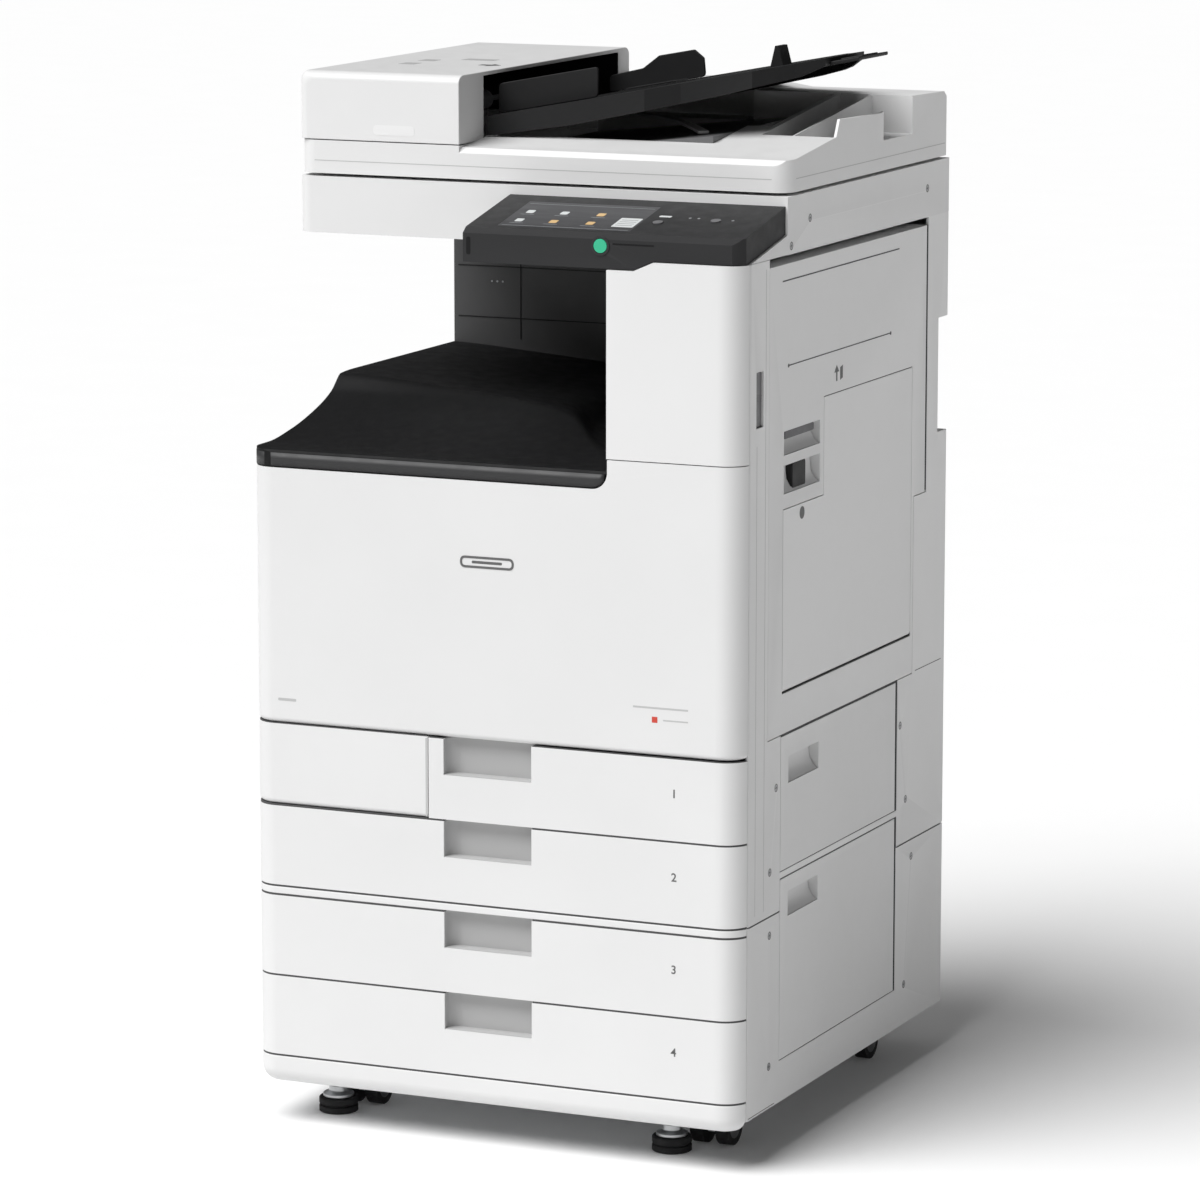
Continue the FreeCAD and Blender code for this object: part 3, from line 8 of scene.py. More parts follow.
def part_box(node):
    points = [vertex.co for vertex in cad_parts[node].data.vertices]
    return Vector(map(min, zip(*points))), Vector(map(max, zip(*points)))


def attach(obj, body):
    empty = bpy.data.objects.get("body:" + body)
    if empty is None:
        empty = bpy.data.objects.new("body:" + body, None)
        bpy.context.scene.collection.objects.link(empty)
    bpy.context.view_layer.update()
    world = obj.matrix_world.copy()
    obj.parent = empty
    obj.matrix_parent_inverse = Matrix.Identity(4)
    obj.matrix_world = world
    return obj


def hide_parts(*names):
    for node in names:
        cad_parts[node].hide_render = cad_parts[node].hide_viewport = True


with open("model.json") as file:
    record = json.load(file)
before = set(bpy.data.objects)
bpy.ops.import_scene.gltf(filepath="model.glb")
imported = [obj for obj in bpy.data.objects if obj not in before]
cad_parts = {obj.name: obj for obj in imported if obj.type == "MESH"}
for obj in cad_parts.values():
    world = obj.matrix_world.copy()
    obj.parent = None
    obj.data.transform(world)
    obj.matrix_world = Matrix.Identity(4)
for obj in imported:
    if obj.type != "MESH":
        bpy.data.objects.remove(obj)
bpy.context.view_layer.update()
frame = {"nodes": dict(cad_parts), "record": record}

# Lengths below are in millimetres.  X is across, y is the distance behind the front covers and z is
# the height above the floor; spot() turns them into metres in the row's frame.
MM = 0.001
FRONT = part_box("front_cover")[0][1]
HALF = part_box("rear_cover_lower")[1][0] / MM
DEPTH = (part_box("rear_cover_upper")[1][1] - FRONT) / MM
CORNER = 28  # radius of the fronts' upright corners, seen from above
FRONT_THICK = 22  # depth of the front covers, where the corner's arc ends
GAP = 2.2  # clear height between one front and the next
PRINT_LOW, PRINT_HIGH = -0.1, 0.12  # how far thin print lies under and over its surface


def spot(x, y, z):
    return Vector((x * MM, FRONT + y * MM, z * MM))


def edge(node, side, axis):
    """One side of a CAD node's box, in this script's millimetres; side 0 is the low one."""
    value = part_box(node)[side]["xyz".index(axis)] - (FRONT if axis == "y" else 0)
    return value / MM


def edges(node, axis):
    """Both sides of a CAD node's box, the low one first."""
    return edge(node, 0, axis), edge(node, 1, axis)


def middle(node, axis):
    return sum(edges(node, axis)) / 2


# ------------------------------------------------------------------ materials
def node_material(name):
    material = bpy.data.materials.new(name)
    material.use_nodes = True
    tree = material.node_tree
    return material, tree, tree.nodes["Principled BSDF"]


def noise(tree, scale, detail=3.0, stretch=(1, 1, 1)):
    """Noise in object space, stretched where the surface has a direction."""
    place = tree.nodes.new("ShaderNodeTexCoord")
    mapping = tree.nodes.new("ShaderNodeMapping")
    mapping.inputs["Scale"].default_value = stretch
    texture = tree.nodes.new("ShaderNodeTexNoise")
    texture.inputs["Scale"].default_value = scale
    texture.inputs["Detail"].default_value = detail
    tree.links.new(place.outputs["Object"], mapping.inputs["Vector"])
    tree.links.new(mapping.outputs["Vector"], texture.inputs["Vector"])
    return texture.outputs["Fac"]


def ramp(tree, value, low, high, start=0.35, end=0.65):
    """Turns a noise into colours between low and high."""
    item = tree.nodes.new("ShaderNodeValToRGB")
    item.color_ramp.elements[0].position = start
    item.color_ramp.elements[1].position = end
    item.color_ramp.elements[0].color = (*low, 1)
    item.color_ramp.elements[1].color = (*high, 1)
    tree.links.new(value, item.inputs["Fac"])
    return item.outputs["Color"]


def spread(tree, value, low, high):
    """Turns a noise into numbers between low and high."""
    item = tree.nodes.new("ShaderNodeMapRange")
    item.inputs["From Min"].default_value = 0.3
    item.inputs["From Max"].default_value = 0.7
    item.inputs["To Min"].default_value = low
    item.inputs["To Max"].default_value = high
    tree.links.new(value, item.inputs["Value"])
    return item.outputs["Result"]


def bump(tree, shader, value, depth):
    item = tree.nodes.new("ShaderNodeBump")
    item.inputs["Distance"].default_value = depth
    item.inputs["Strength"].default_value = 1.0
    tree.links.new(value, item.inputs["Height"])
    tree.links.new(item.outputs["Normal"], shader.inputs["Normal"])


def worn(tree, colour, light):
    """Painted highlight: slightly lighter colour where the surface turns a convex corner."""
    geometry = tree.nodes.new("ShaderNodeNewGeometry")
    mask = tree.nodes.new("ShaderNodeMapRange")
    mask.inputs["From Min"].default_value = 0.52
    mask.inputs["From Max"].default_value = 0.62
    tree.links.new(geometry.outputs["Pointiness"], mask.inputs["Value"])
    mix = tree.nodes.new("ShaderNodeMix")
    mix.data_type = "RGBA"
    mix.inputs["B"].default_value = (*light, 1)
    tree.links.new(mask.outputs["Result"], mix.inputs["Factor"])
    tree.links.new(colour, mix.inputs["A"])
    return mix.outputs["Result"]


def plastic(name, colour, rough=(0.42, 0.52), grain=1400, depth=0.00006, shade=0.04, level=0.45):
    """Moulded plastic: spark-eroded grain, a slow drift of tone and a painted highlight on convex corners."""
    material, tree, shader = node_material(name)
    low = tuple(c * (1 - shade) for c in colour)
    high = tuple(min(1.0, c * (1 + shade)) for c in colour)
    drift = ramp(tree, noise(tree, 6, 4), low, high, 0.3, 0.7)
    # Convex corners get a painted highlight.
    tree.links.new(worn(tree, drift, tuple(min(1.0, c * 1.1 + 0.004) for c in colour)),
                   shader.inputs["Base Color"])
    tree.links.new(spread(tree, noise(tree, 60, 4), *rough), shader.inputs["Roughness"])
    shader.inputs["Specular IOR Level"].default_value = level
    bump(tree, shader, noise(tree, grain, 2), depth)
    return material


def metal(name, colour, rough=(0.28, 0.42), stretch=(1, 60, 60), grain=30, depth=0.00004):
    """Rolled or plated steel with fine lines in one direction."""
    material, tree, shader = node_material(name)
    lines = noise(tree, grain, 6, stretch)
    tree.links.new(ramp(tree, lines, tuple(c * 0.85 for c in colour), colour), shader.inputs["Base Color"])
    tree.links.new(spread(tree, lines, *rough), shader.inputs["Roughness"])
    shader.inputs["Metallic"].default_value = 1.0
    bump(tree, shader, lines, depth)
    return material


def gloss(name, colour, rough=(0.04, 0.1), coat=0.6, glow=0.0):
    """Polished plastic with faint smears; glow is for a lit part."""
    material, tree, shader = node_material(name)
    drift = ramp(tree, noise(tree, 25, 5), tuple(c * 0.92 for c in colour), colour)
    tree.links.new(drift, shader.inputs["Base Color"])
    tree.links.new(spread(tree, noise(tree, 18, 6, (1, 5, 1)), *rough), shader.inputs["Roughness"])
    shader.inputs["Coat Weight"].default_value = coat
    shader.inputs["Coat Roughness"].default_value = 0.05
    if glow:
        tree.links.new(drift, shader.inputs["Emission Color"])
        shader.inputs["Emission Strength"].default_value = glow
    bump(tree, shader, noise(tree, 300, 2), 0.00001)
    return material


def clear_glass(name):
    """Faintly green glass with a few smears."""
    material, tree, shader = node_material(name)
    smear = noise(tree, 12, 6, (1, 3, 1))
    tree.links.new(ramp(tree, smear, (0.80, 0.88, 0.87), (0.86, 0.93, 0.92)), shader.inputs["Base Color"])
    tree.links.new(spread(tree, smear, 0.01, 0.05), shader.inputs["Roughness"])
    shader.inputs["Transmission Weight"].default_value = 0.9
    shader.inputs["IOR"].default_value = 1.5
    return material


def paper(name):
    """A stack of sheets: fine level lines on its sides."""
    material, tree, shader = node_material(name)
    leaves = noise(tree, 40, 2, (0.2, 0.2, 60))
    tree.links.new(ramp(tree, leaves, (0.80, 0.80, 0.78), (0.92, 0.92, 0.90)), shader.inputs["Base Color"])
    tree.links.new(spread(tree, leaves, 0.75, 0.9), shader.inputs["Roughness"])
    bump(tree, shader, leaves, 0.0002)
    return material


WHITE = (0.70, 0.70, 0.70)
M = {
    "shell": plastic("shell_plastic", WHITE, shade=0.015),
    "reader": plastic("reader_plastic", (0.71, 0.71, 0.71), shade=0.015, grain=1100),
    "dark_plastic": plastic("dark_plastic", (0.020, 0.020, 0.0205), (0.45, 0.58), 900, 0.00010, 0.08, 0.3),
    "tray_plastic": plastic("tray_plastic", (0.0065, 0.0065, 0.007), (0.5, 0.6), 1200, 0.00008, 0.08, 0.15),
    "panel_plastic": plastic("panel_plastic", (0.024, 0.024, 0.025), (0.5, 0.6), 1000, 0.00008, 0.05, 0.22),
    "feeder_black": plastic("feeder_black", (0.011, 0.011, 0.0115), (0.5, 0.6), 1100, 0.00008, 0.06, 0.25),
    "cavity_plastic": plastic("cavity_plastic", (0.062, 0.062, 0.063), (0.5, 0.6), 1100, 0.00008, 0.06, 0.25),
    # The hand recesses' darker grey paints the shade inside them.
    "grip_shade_grey": plastic("grip_shade_plastic", (0.42, 0.42, 0.42), shade=0.02),
    "arm_grey": plastic("arm_plastic", (0.66, 0.66, 0.66), (0.4, 0.5), 1000, 0.00008, 0.05),
    "lip_plastic": plastic("lip_plastic", (0.026, 0.026, 0.027), (0.42, 0.5), 1000, 0.00008, 0.05, 0.35),
    "bed_plastic": plastic("bed_plastic", (0.13, 0.13, 0.133), (0.32, 0.45), 1000, 0.00008, 0.06),
    "unit_grey": plastic("unit_plastic", (0.10, 0.10, 0.105), (0.45, 0.60), 700, 0.00012, 0.08),
    "grey_key": plastic("key_plastic", (0.12, 0.12, 0.125), (0.35, 0.45), 1200, 0.00005, 0.05),
    "steel": metal("zinc_steel", (0.55, 0.56, 0.57)),
    "screw": metal("screw_steel", (0.42, 0.42, 0.43), stretch=(20, 20, 20), grain=60),
    "glass": clear_glass("platen_glass"),
    "screen": gloss("screen_gloss", (0.010, 0.011, 0.015), (0.30, 0.38), 0.05),
    "green_key": gloss("green_lens", (0.010, 0.36, 0.19), (0.15, 0.25), 0.4, 0.25),
    "rubber": plastic("soft_rubber", (0.022, 0.022, 0.023), (0.65, 0.85), 400, 0.0002, 0.15, 0.3),
    "roller_grey": plastic("roller_rubber", (0.20, 0.20, 0.21), (0.6, 0.8), 500, 0.0002, 0.08, 0.3),
    "drum_coating": gloss("drum_coating", (0.03, 0.20, 0.25), (0.05, 0.12)),
    "paper": paper("paper_stack"),
    "print_grey": plastic("print_grey", (0.10, 0.10, 0.10), (0.5, 0.6), 900, 0.00002, 0.06),
    "print_pale": plastic("print_pale", (0.42, 0.42, 0.42), (0.5, 0.6), 900, 0.00002, 0.06),
    "print_red": plastic("print_red", (0.50, 0.05, 0.03), (0.4, 0.5), 900, 0.00002, 0.06),
    # groove_shadow paints the shade in grooves, seams, gaps and screw slots.
    "groove": plastic("groove_shadow", (0.055, 0.055, 0.056), (0.7, 0.8), 900, 0.00002, 0.06),
    "icon": gloss("icon_white", (0.60, 0.62, 0.62), (0.3, 0.4), 0.1, 0.12),
    "icon_warm": gloss("icon_warm", (0.62, 0.40, 0.16), (0.3, 0.4), 0.1, 0.12),
    "icon_dim": gloss("icon_dim", (0.25, 0.26, 0.27), (0.3, 0.4), 0.2, 0.10),
    "waste_box": plastic("waste_box_plastic", (0.55, 0.56, 0.56), (0.3, 0.4), 300, 0.00010, 0.05),
    "lever_green": plastic("lever_plastic", (0.03, 0.22, 0.12), (0.35, 0.45), 900, 0.00006, 0.06),
}
TONERS = {"black": (0.03, 0.03, 0.03), "cyan": (0.02, 0.30, 0.50), "magenta": (0.50, 0.03, 0.20),
          "yellow": (0.70, 0.50, 0.03)}
for toner, toner_colour in TONERS.items():
    M[f"toner_{toner}"] = plastic(f"toner_{toner}", toner_colour, (0.3, 0.4), 800, 0.00005, 0.06)


# ------------------------------------------------------------------ carried-over CAD nodes
EASED_ABOVE = 32  # edges that turn by more than this many degrees are eased


def soften(obj, width):
    """Welds the mesh, eases its edges and evens out its shading."""
    weld = obj.modifiers.new("weld", "WELD")
    weld.merge_threshold = 0.00001
    bevel = obj.modifiers.new("bevel", "BEVEL")
    bevel.width = width * MM
    bevel.segments = 3
    bevel.limit_method = "ANGLE"
    bevel.angle_limit = math.radians(EASED_ABOVE)
    bevel.harden_normals = False
    normals = obj.modifiers.new("normals", "WEIGHTED_NORMAL")
    normals.keep_sharp = True


LOOKS = {
    "scanner_housing": ("reader", 1.6), "adf_lid": ("reader", 1.4), "adf_top_cover": ("reader", 3.0),
    "control_panel_housing": ("panel_plastic", 2.2), "output_tray": ("tray_plastic", 1.0),
    "cavity_walls": ("cavity_plastic", 0.6), "adf_exit_tray": ("bed_plastic", 1.2),
    "adf_input_tray": ("feeder_black", 1.2), "adf_tray_extension": ("feeder_black", 1.2),
    "scanner_glass": ("glass", 0.3), "touch_screen": ("screen", 0.5), "front_cover": ("shell", 1.2),
    "pillar_cover": ("shell", 1.0), "front_trim": ("shell", 1.2), "waste_toner_cover": ("shell", 1.2),
}
materials_by_node = {row["node"]: row["material_slot"] for row in frame["record"]["subparts"]}
for node_name, node_object in frame["nodes"].items():
    look, width = LOOKS.get(node_name, (materials_by_node[node_name], 0.7))
    if node_name.startswith("cassette_"):
        look, width = "shell", 1.2
    node_object.data.materials.clear()
    node_object.data.materials.append(M[look])
    soften(node_object, width)


# ------------------------------------------------------------------ building pieces
def finish_piece(name, bm, body, look, bevel=0.0, smooth=40):
    """Makes an object of a mesh, gives it its look and lets it ride on a body."""
    bmesh.ops.recalc_face_normals(bm, faces=bm.faces)
    mesh = bpy.data.meshes.new(name)
    bm.to_mesh(mesh)
    bm.free()
    mesh.materials.append(M[look])
    for face in mesh.polygons:
        face.use_smooth = True
    mesh.set_sharp_from_angle(angle=math.radians(smooth))
    obj = bpy.data.objects.new(name, mesh)
    bpy.context.scene.collection.objects.link(obj)
    if bevel:
        soften(obj, bevel)
    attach(obj, body)
    return obj


def eased(points, radius):
    """An outline with its corners turned into curves."""
    steps = 6
    out = []
    count = len(points)
    for index, corner in enumerate(points):
        corner = Vector(corner)
        before = Vector(points[index - 1]) - corner
        after = Vector(points[(index + 1) % count]) - corner
        turn = before.angle(after)
        reach = min(radius / math.tan(turn / 2), before.length * 0.49, after.length * 0.49)
        start = corner + before.normalized() * reach
        end = corner + after.normalized() * reach
        for step in range(steps + 1):
            share = step / steps
            point = (1 - share) ** 2 * start + 2 * share * (1 - share) * corner + share ** 2 * end
            out.append(tuple(point))
    return out


def box_outline(left, right, low, high):
    return [(left, low), (right, low), (right, high), (left, high)]


def disc_outline(u, v, radius, steps=32):
    turn = 2 * math.pi / steps
    return [(u + radius * math.cos(turn * i), v + radius * math.sin(turn * i)) for i in range(steps)]


def placed(plane, u, v, w):
    """A point from its two coordinates in a plane and the third one."""
    return {"xy": spot(u, v, w), "xz": spot(u, w, v), "yz": spot(w, u, v)}[plane]


def joined(bm, near, far):
    """Closes two rings of points into a prism."""
    bm.faces.new(near)
    bm.faces.new(far[::-1])
    for i in range(len(near)):
        j = (i + 1) % len(near)
        bm.faces.new((near[i], near[j], far[j], far[i]))


def stretched(bm, plane, outline, low, high):
    """Adds an outline stretched between two distances."""
    joined(bm, *[[bm.verts.new(placed(plane, u, v, w)) for u, v in outline] for w in (low, high)])


def slab(name, plane, outlines, low, high, body, look, bevel=0.0):
    """One piece of one or more stretched outlines."""
    bm = bmesh.new()
    for outline in outlines:
        stretched(bm, plane, outline, low, high)
    return finish_piece(name, bm, body, look, bevel)


def lathe(bm, axis_point, axis, profile, steps=40):
    """Adds a turned form: profile is (distance along the axis, radius)."""
    ways = {"x": (Vector((1, 0, 0)), Vector((0, 1, 0)), Vector((0, 0, 1))),
            "y": (Vector((0, 1, 0)), Vector((0, 0, 1)), Vector((1, 0, 0))),
            "z": (Vector((0, 0, 1)), Vector((1, 0, 0)), Vector((0, 1, 0)))}
    along, side, other = ways[axis]
    rings = []
    for reach, radius in profile:
        ring = []
        for i in range(steps):
            turn = 2 * math.pi * i / steps
            offset = along * reach + (side * math.cos(turn) + other * math.sin(turn)) * radius
            ring.append(bm.verts.new(axis_point + offset * MM))
        rings.append(ring)
    bm.faces.new(rings[0][::-1])
    bm.faces.new(rings[-1])
    for first, second in zip(rings, rings[1:]):
        for i in range(steps):
            j = (i + 1) % steps
            bm.faces.new((first[i], first[j], second[j], second[i]))


def turned(name, place, axis, profile, body, look, bevel=0.0, steps=40):
    """One piece of one turned form."""
    bm = bmesh.new()
    lathe(bm, place, axis, profile, steps)
    return finish_piece(name, bm, body, look, bevel)


def smooth_curve(points, value):
    """A line through a few (place, height) points whose slope changes gradually."""
    if value <= points[0][0]:
        return points[0][1]
    if value >= points[-1][0]:
        return points[-1][1]
    slopes = [(b[1] - a[1]) / (b[0] - a[0]) for a, b in zip(points, points[1:])]
    steep = [slopes[0]]
    for before, after in zip(slopes, slopes[1:]):
        steep.append(0.0 if before * after <= 0 else 2 * before * after / (before + after))
    steep.append(slopes[-1])
    for index, ((a, low), (b, high)) in enumerate(zip(points, points[1:])):
        if value <= b:
            width = b - a
            t = (value - a) / width
            return (low * (1 + 2 * t) * (1 - t) ** 2 + high * t * t * (3 - 2 * t)
                    + width * t * (1 - t) * (steep[index] * (1 - t) - steep[index + 1] * t))
    return points[-1][1]


def soft_min(a, b, width):
    """The lower of two heights, blended where they cross."""
    share = max(0.0, min(1.0, 0.5 + 0.5 * (b - a) / width))
    return b * (1 - share) + a * share - width * share * (1 - share)


# ------------------------------------------------------------------ output tray
TRAY_BOTTOM = edge("output_tray", 0, "z")
TRAY_RIGHT = edge("output_tray", 1, "x")
TRAY_BACK = edge("output_tray", 1, "y")
TRAY_TOP = edge("output_tray", 1, "z")
TRAY_ROUND = 17  # radius of the tray's lower right edge
LIP_OUT, LIP_TOP = 0.25, 756.5  # how far the lip stands out, and its height
# The bed's height from front to back, and across it from left to right.
RISE = [(0, 757), (3, 759.6), (50, 760), (104, 767), (166, 782), (204, 797), (219, 809), (226, 814),
        (260, TRAY_TOP), (527, TRAY_TOP)]
FALL = [(-293, TRAY_TOP + 1), (-120, 803), (-38, 795), (-12, 789), (14, 769), (40, 763), (137, 761)]
FALL_TURN, FALL_SLANT = 249, 0.45  # where the right-hand fall starts to slant, and how much


def tray_height(x, y):
    """The bed rises to the back; its right-hand edge falls away along a slanting line."""
    slant = FALL_SLANT * max(0.0, FALL_TURN - y)
    return soft_min(smooth_curve(RISE, y), smooth_curve(FALL, x - slant), 3)


def tray_left(y):
    """The tray's left edge follows the rounded corner."""
    return -HALF + CORNER - math.sqrt(max(0.0, CORNER ** 2 - max(0.0, CORNER - y) ** 2))


def tray_underside(x):
    """Level, and rounded up at the right-hand edge."""
    over = max(0.0, x - (TRAY_RIGHT - TRAY_ROUND))
    return TRAY_BOTTOM + TRAY_ROUND - math.sqrt(max(0.0, TRAY_ROUND ** 2 - over ** 2))


def output_tray():
    """The sculpted sheet bed, low at the front and right and high at the back left, and its front lip."""
    columns, rows = 96, 130
    crowding = 1.3  # rows of points lie closer together near the front
    rows_y = [TRAY_BACK * (i / rows) ** crowding for i in range(rows + 1)]
    bm = bmesh.new()
    top, under = [], []
    for y in rows_y:
        left = tray_left(y)
        line = [left + (TRAY_RIGHT - left) * i / columns for i in range(columns + 1)]
        top.append([bm.verts.new(spot(x, y, tray_height(x, y))) for x in line])
        under.append([bm.verts.new(spot(x, y, tray_underside(x))) for x in line])
    for i in range(rows):
        for j in range(columns):
            bm.faces.new((top[i][j], top[i][j + 1], top[i + 1][j + 1], top[i + 1][j]))
            bm.faces.new((under[i][j], under[i + 1][j], under[i + 1][j + 1], under[i][j + 1]))
        for j in (0, columns):
            bm.faces.new((top[i][j], top[i + 1][j], under[i + 1][j], under[i][j]))
    for i in (0, rows):
        for j in range(columns):
            bm.faces.new((top[i][j], top[i][j + 1], under[i][j + 1], under[i][j]))
    tray = finish_piece("output_tray_bed", bm, "cabinet", "tray_plastic", 0.9, 50)
    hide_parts("output_tray")
    front = [(tray_left(0.9 * i) - LIP_OUT, 0.9 * i) for i in range(24, 1, -1)]
    front += [(x, -LIP_OUT) for x in range(-262, int(TRAY_RIGHT - TRAY_ROUND), 12)]
    front += [(TRAY_RIGHT - TRAY_ROUND * share, -LIP_OUT) for share in (1, 0.7, 0.4, 0.15)]
    lip = bmesh.new()
    across = []
    for x, y in front:
        across.append([lip.verts.new(spot(x, y, z)) for z in (tray_underside(x) + 0.8, LIP_TOP)])
    for first, second in zip(across, across[1:]):
        lip.faces.new((first[0], second[0], second[1], first[1]))
    thick = finish_piece("output_tray_lip", lip, "cabinet", "lip_plastic")
    solid = thick.modifiers.new("thickness", "SOLIDIFY")
    solid.thickness = 0.3 * MM
    solid.offset = 0


def cavity_details():
    """Seams as dark lines of painted shade, three marks, the exit fingers and rollers, and a stack stop in
    the hollow's dark walls.
    """
    slab("cavity_seams", "xz",
         [box_outline(-HALF + 6, 134, z, z + 1.0) for z in (846, 906)]
         + [box_outline(-206.5, -205.5, 822, 980), box_outline(-60.5, -59.5, 846, 906)],
         TRAY_BACK - 0.7, TRAY_BACK + 0.4, "cabinet", "tray_plastic")
    inner = edge("cavity_walls", 1, "x") - 3
    slab("hatch_marks", "xz", [disc_outline(x, 889, 1.1, 12) for x in (-243, -236, -229)],
         TRAY_BACK - 0.9, TRAY_BACK + 0.2, "cabinet", "icon_dim")
    slab("exit_fingers", "yz",
         [eased(box_outline(y, y + 9, 833, 847), 3) for y in range(112, 430, 34)],
         inner - 5, inner + 0.4, "cabinet", "dark_plastic", 0.6)
    bm = bmesh.new()
    for y in (150, 255, 360):
        lathe(bm, spot(inner + 1, y, 851), "y", [(0, 5), (1, 6), (23, 6), (24, 5)])
    finish_piece("exit_rollers", bm, "cabinet", "roller_grey")
    start = edge("cavity_walls", 0, "y") + 496
    slab("stack_stop", "xz", [eased(box_outline(-40, -4, 800, 812), 5)], start, start + 6,
         "cabinet", "dark_plastic", 0.8)


# ------------------------------------------------------------------ fronts
def flat_mark(name, outlines, look, body):
    """Thin print on a front face."""
    slab(name, "xz", outlines, -0.12, 0.18, body, look)


def ring_outlines(name, outer, inner, low, high, body, look, plane="xz"):
    """A flat closed band between two outlines with the same number of points."""
    bm = bmesh.new()
    loops = [[bm.verts.new(placed(plane, u, v, w)) for u, v in line]
             for w in (low, high) for line in (outer, inner)]
    count = len(outer)
    for i in range(count):
        j = (i + 1) % count
        for a, b in ((0, 1), (1, 3), (3, 2), (2, 0)):
            bm.faces.new((loops[a][i], loops[a][j], loops[b][j], loops[b][i]))
    return finish_piece(name, bm, body, look)


UPRIGHT = Matrix.Rotation(math.pi / 2, 4, "X")


def digit(name, text, place, size, body):
    """A printed numeral as a thin upright mesh."""
    look = "print_grey"
    curve = bpy.data.curves.new(name + "_curve", "FONT")
    curve.body = text
    curve.size = size * MM
    curve.extrude = 0.12 * MM
    curve.offset = 0.2 * MM
    curve.align_x = "CENTER"
    holder = bpy.data.objects.new(name + "_curve", curve)
    bpy.context.scene.collection.objects.link(holder)
    bpy.context.view_layer.update()
    mesh = bpy.data.meshes.new_from_object(holder.evaluated_get(bpy.context.evaluated_depsgraph_get()))
    bpy.data.objects.remove(holder)
    mesh.transform(Matrix.Translation(place) @ UPRIGHT)
    mesh.name = name
    mesh.materials.clear()
    mesh.materials.append(M[look])
    obj = bpy.data.objects.new(name, mesh)
    bpy.context.scene.collection.objects.link(obj)
    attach(obj, body)


def front_prints():
    """Row numerals and plain, wordless marks where such machines carry their labels."""
    for row in (1, 2, 3, 4):
        top = edge(f"cassette_{row}", 1, "z")
        digit(f"row_number_{row}", str(row), spot(216, 0, top - 42), 13, f"cassette_{row}")
    badge = eased(box_outline(-36, 28, 645, 658), 6.5)
    hollow = eased(box_outline(-33.5, 25.5, 647.5, 655.5), 4)
    ring_outlines("badge_ring", badge, hollow, -0.35, 0.1, "front_cover", "print_grey")
    flat_mark("badge_bar", [eased(box_outline(-22, 14, 650, 653), 1.5)], "print_grey", "front_cover")
    flat_mark("rule_right", [box_outline(168, 232, 507, 509), box_outline(203, 232, 494.5, 496)],
              "print_pale", "front_cover")
    flat_mark("square_right", [box_outline(190, 196.5, 492, 498.5)], "print_red", "front_cover")
    flat_mark("rule_left", [eased(box_outline(-258, -236, 481, 484), 1)], "print_pale", "front_cover")


def grip_details():
    """The lining of each hand recess, darker grey to paint the recess's shade: its walls run into its back in
    soft curves.
    """
    left, right, deep, tall = -56.7, 47.7, 17.6, 40
    for row in (1, 2, 3, 4):
        top = edge(f"cassette_{row}", 1, "z")
        walls = [(left - 0.4, 0.8), (left - 0.4, deep + 0.5), (right + 0.4, deep + 0.5), (right + 0.4, 0.8),
                 (right, 0.8)]
        for centre, radius, start in ((right - 5, 5, 0), (left + 13, 13, 1)):
            for i in range(9):
                turn = math.pi / 2 * (start + i / 8)
                walls.append((centre + radius * math.cos(turn), deep - radius + radius * math.sin(turn)))
        walls.append((left, 0.8))
        floor = top - tall + 0.1
        slab(f"grip_lining_{row}", "xy", [walls], floor, top - 0.3, f"cassette_{row}", "grip_shade_grey")
        slab(f"grip_floor_{row}", "xy", [box_outline(left, right, 1.2, deep)], floor, floor + 0.6,
             f"cassette_{row}", "grip_shade_grey")


def front_path(inset, start=None, end=None):
    """The plan of the fronts, round both corners; start and end cut it short at those places across."""
    steps = 10
    radius = CORNER - inset
    widest = math.acos((CORNER - FRONT_THICK) / CORNER)
    turns = [widest * (1 - i / steps) for i in range(steps + 1)]
    centre = HALF - CORNER
    arc = [(centre + radius * math.sin(turn), CORNER - radius * math.cos(turn)) for turn in turns]
    left = [(-x, y) for x, y in arc] if start is None else [(start, inset)]
    right = arc[::-1] if end is None else [(end, inset)]
    return left + right


def trim_band(name, profile, body, look, bevel=0.0, start=None, end=None):
    """A band along the front: profile is (inset, height), from the bottom outside upwards."""
    bm = bmesh.new()
    rings = [[bm.verts.new(spot(x, y, z)) for x, y in front_path(inset, start, end)]
             for inset, z in profile]
    count = len(rings[0])
    for first, second in zip(rings, rings[1:] + rings[:1]):
        for i in range(count - 1):
            bm.faces.new((first[i], first[i + 1], second[i + 1], second[i]))
    bm.faces.new([ring[0] for ring in rings])
    bm.faces.new([ring[-1] for ring in rings][::-1])
    return finish_piece(name, bm, body, look, bevel)


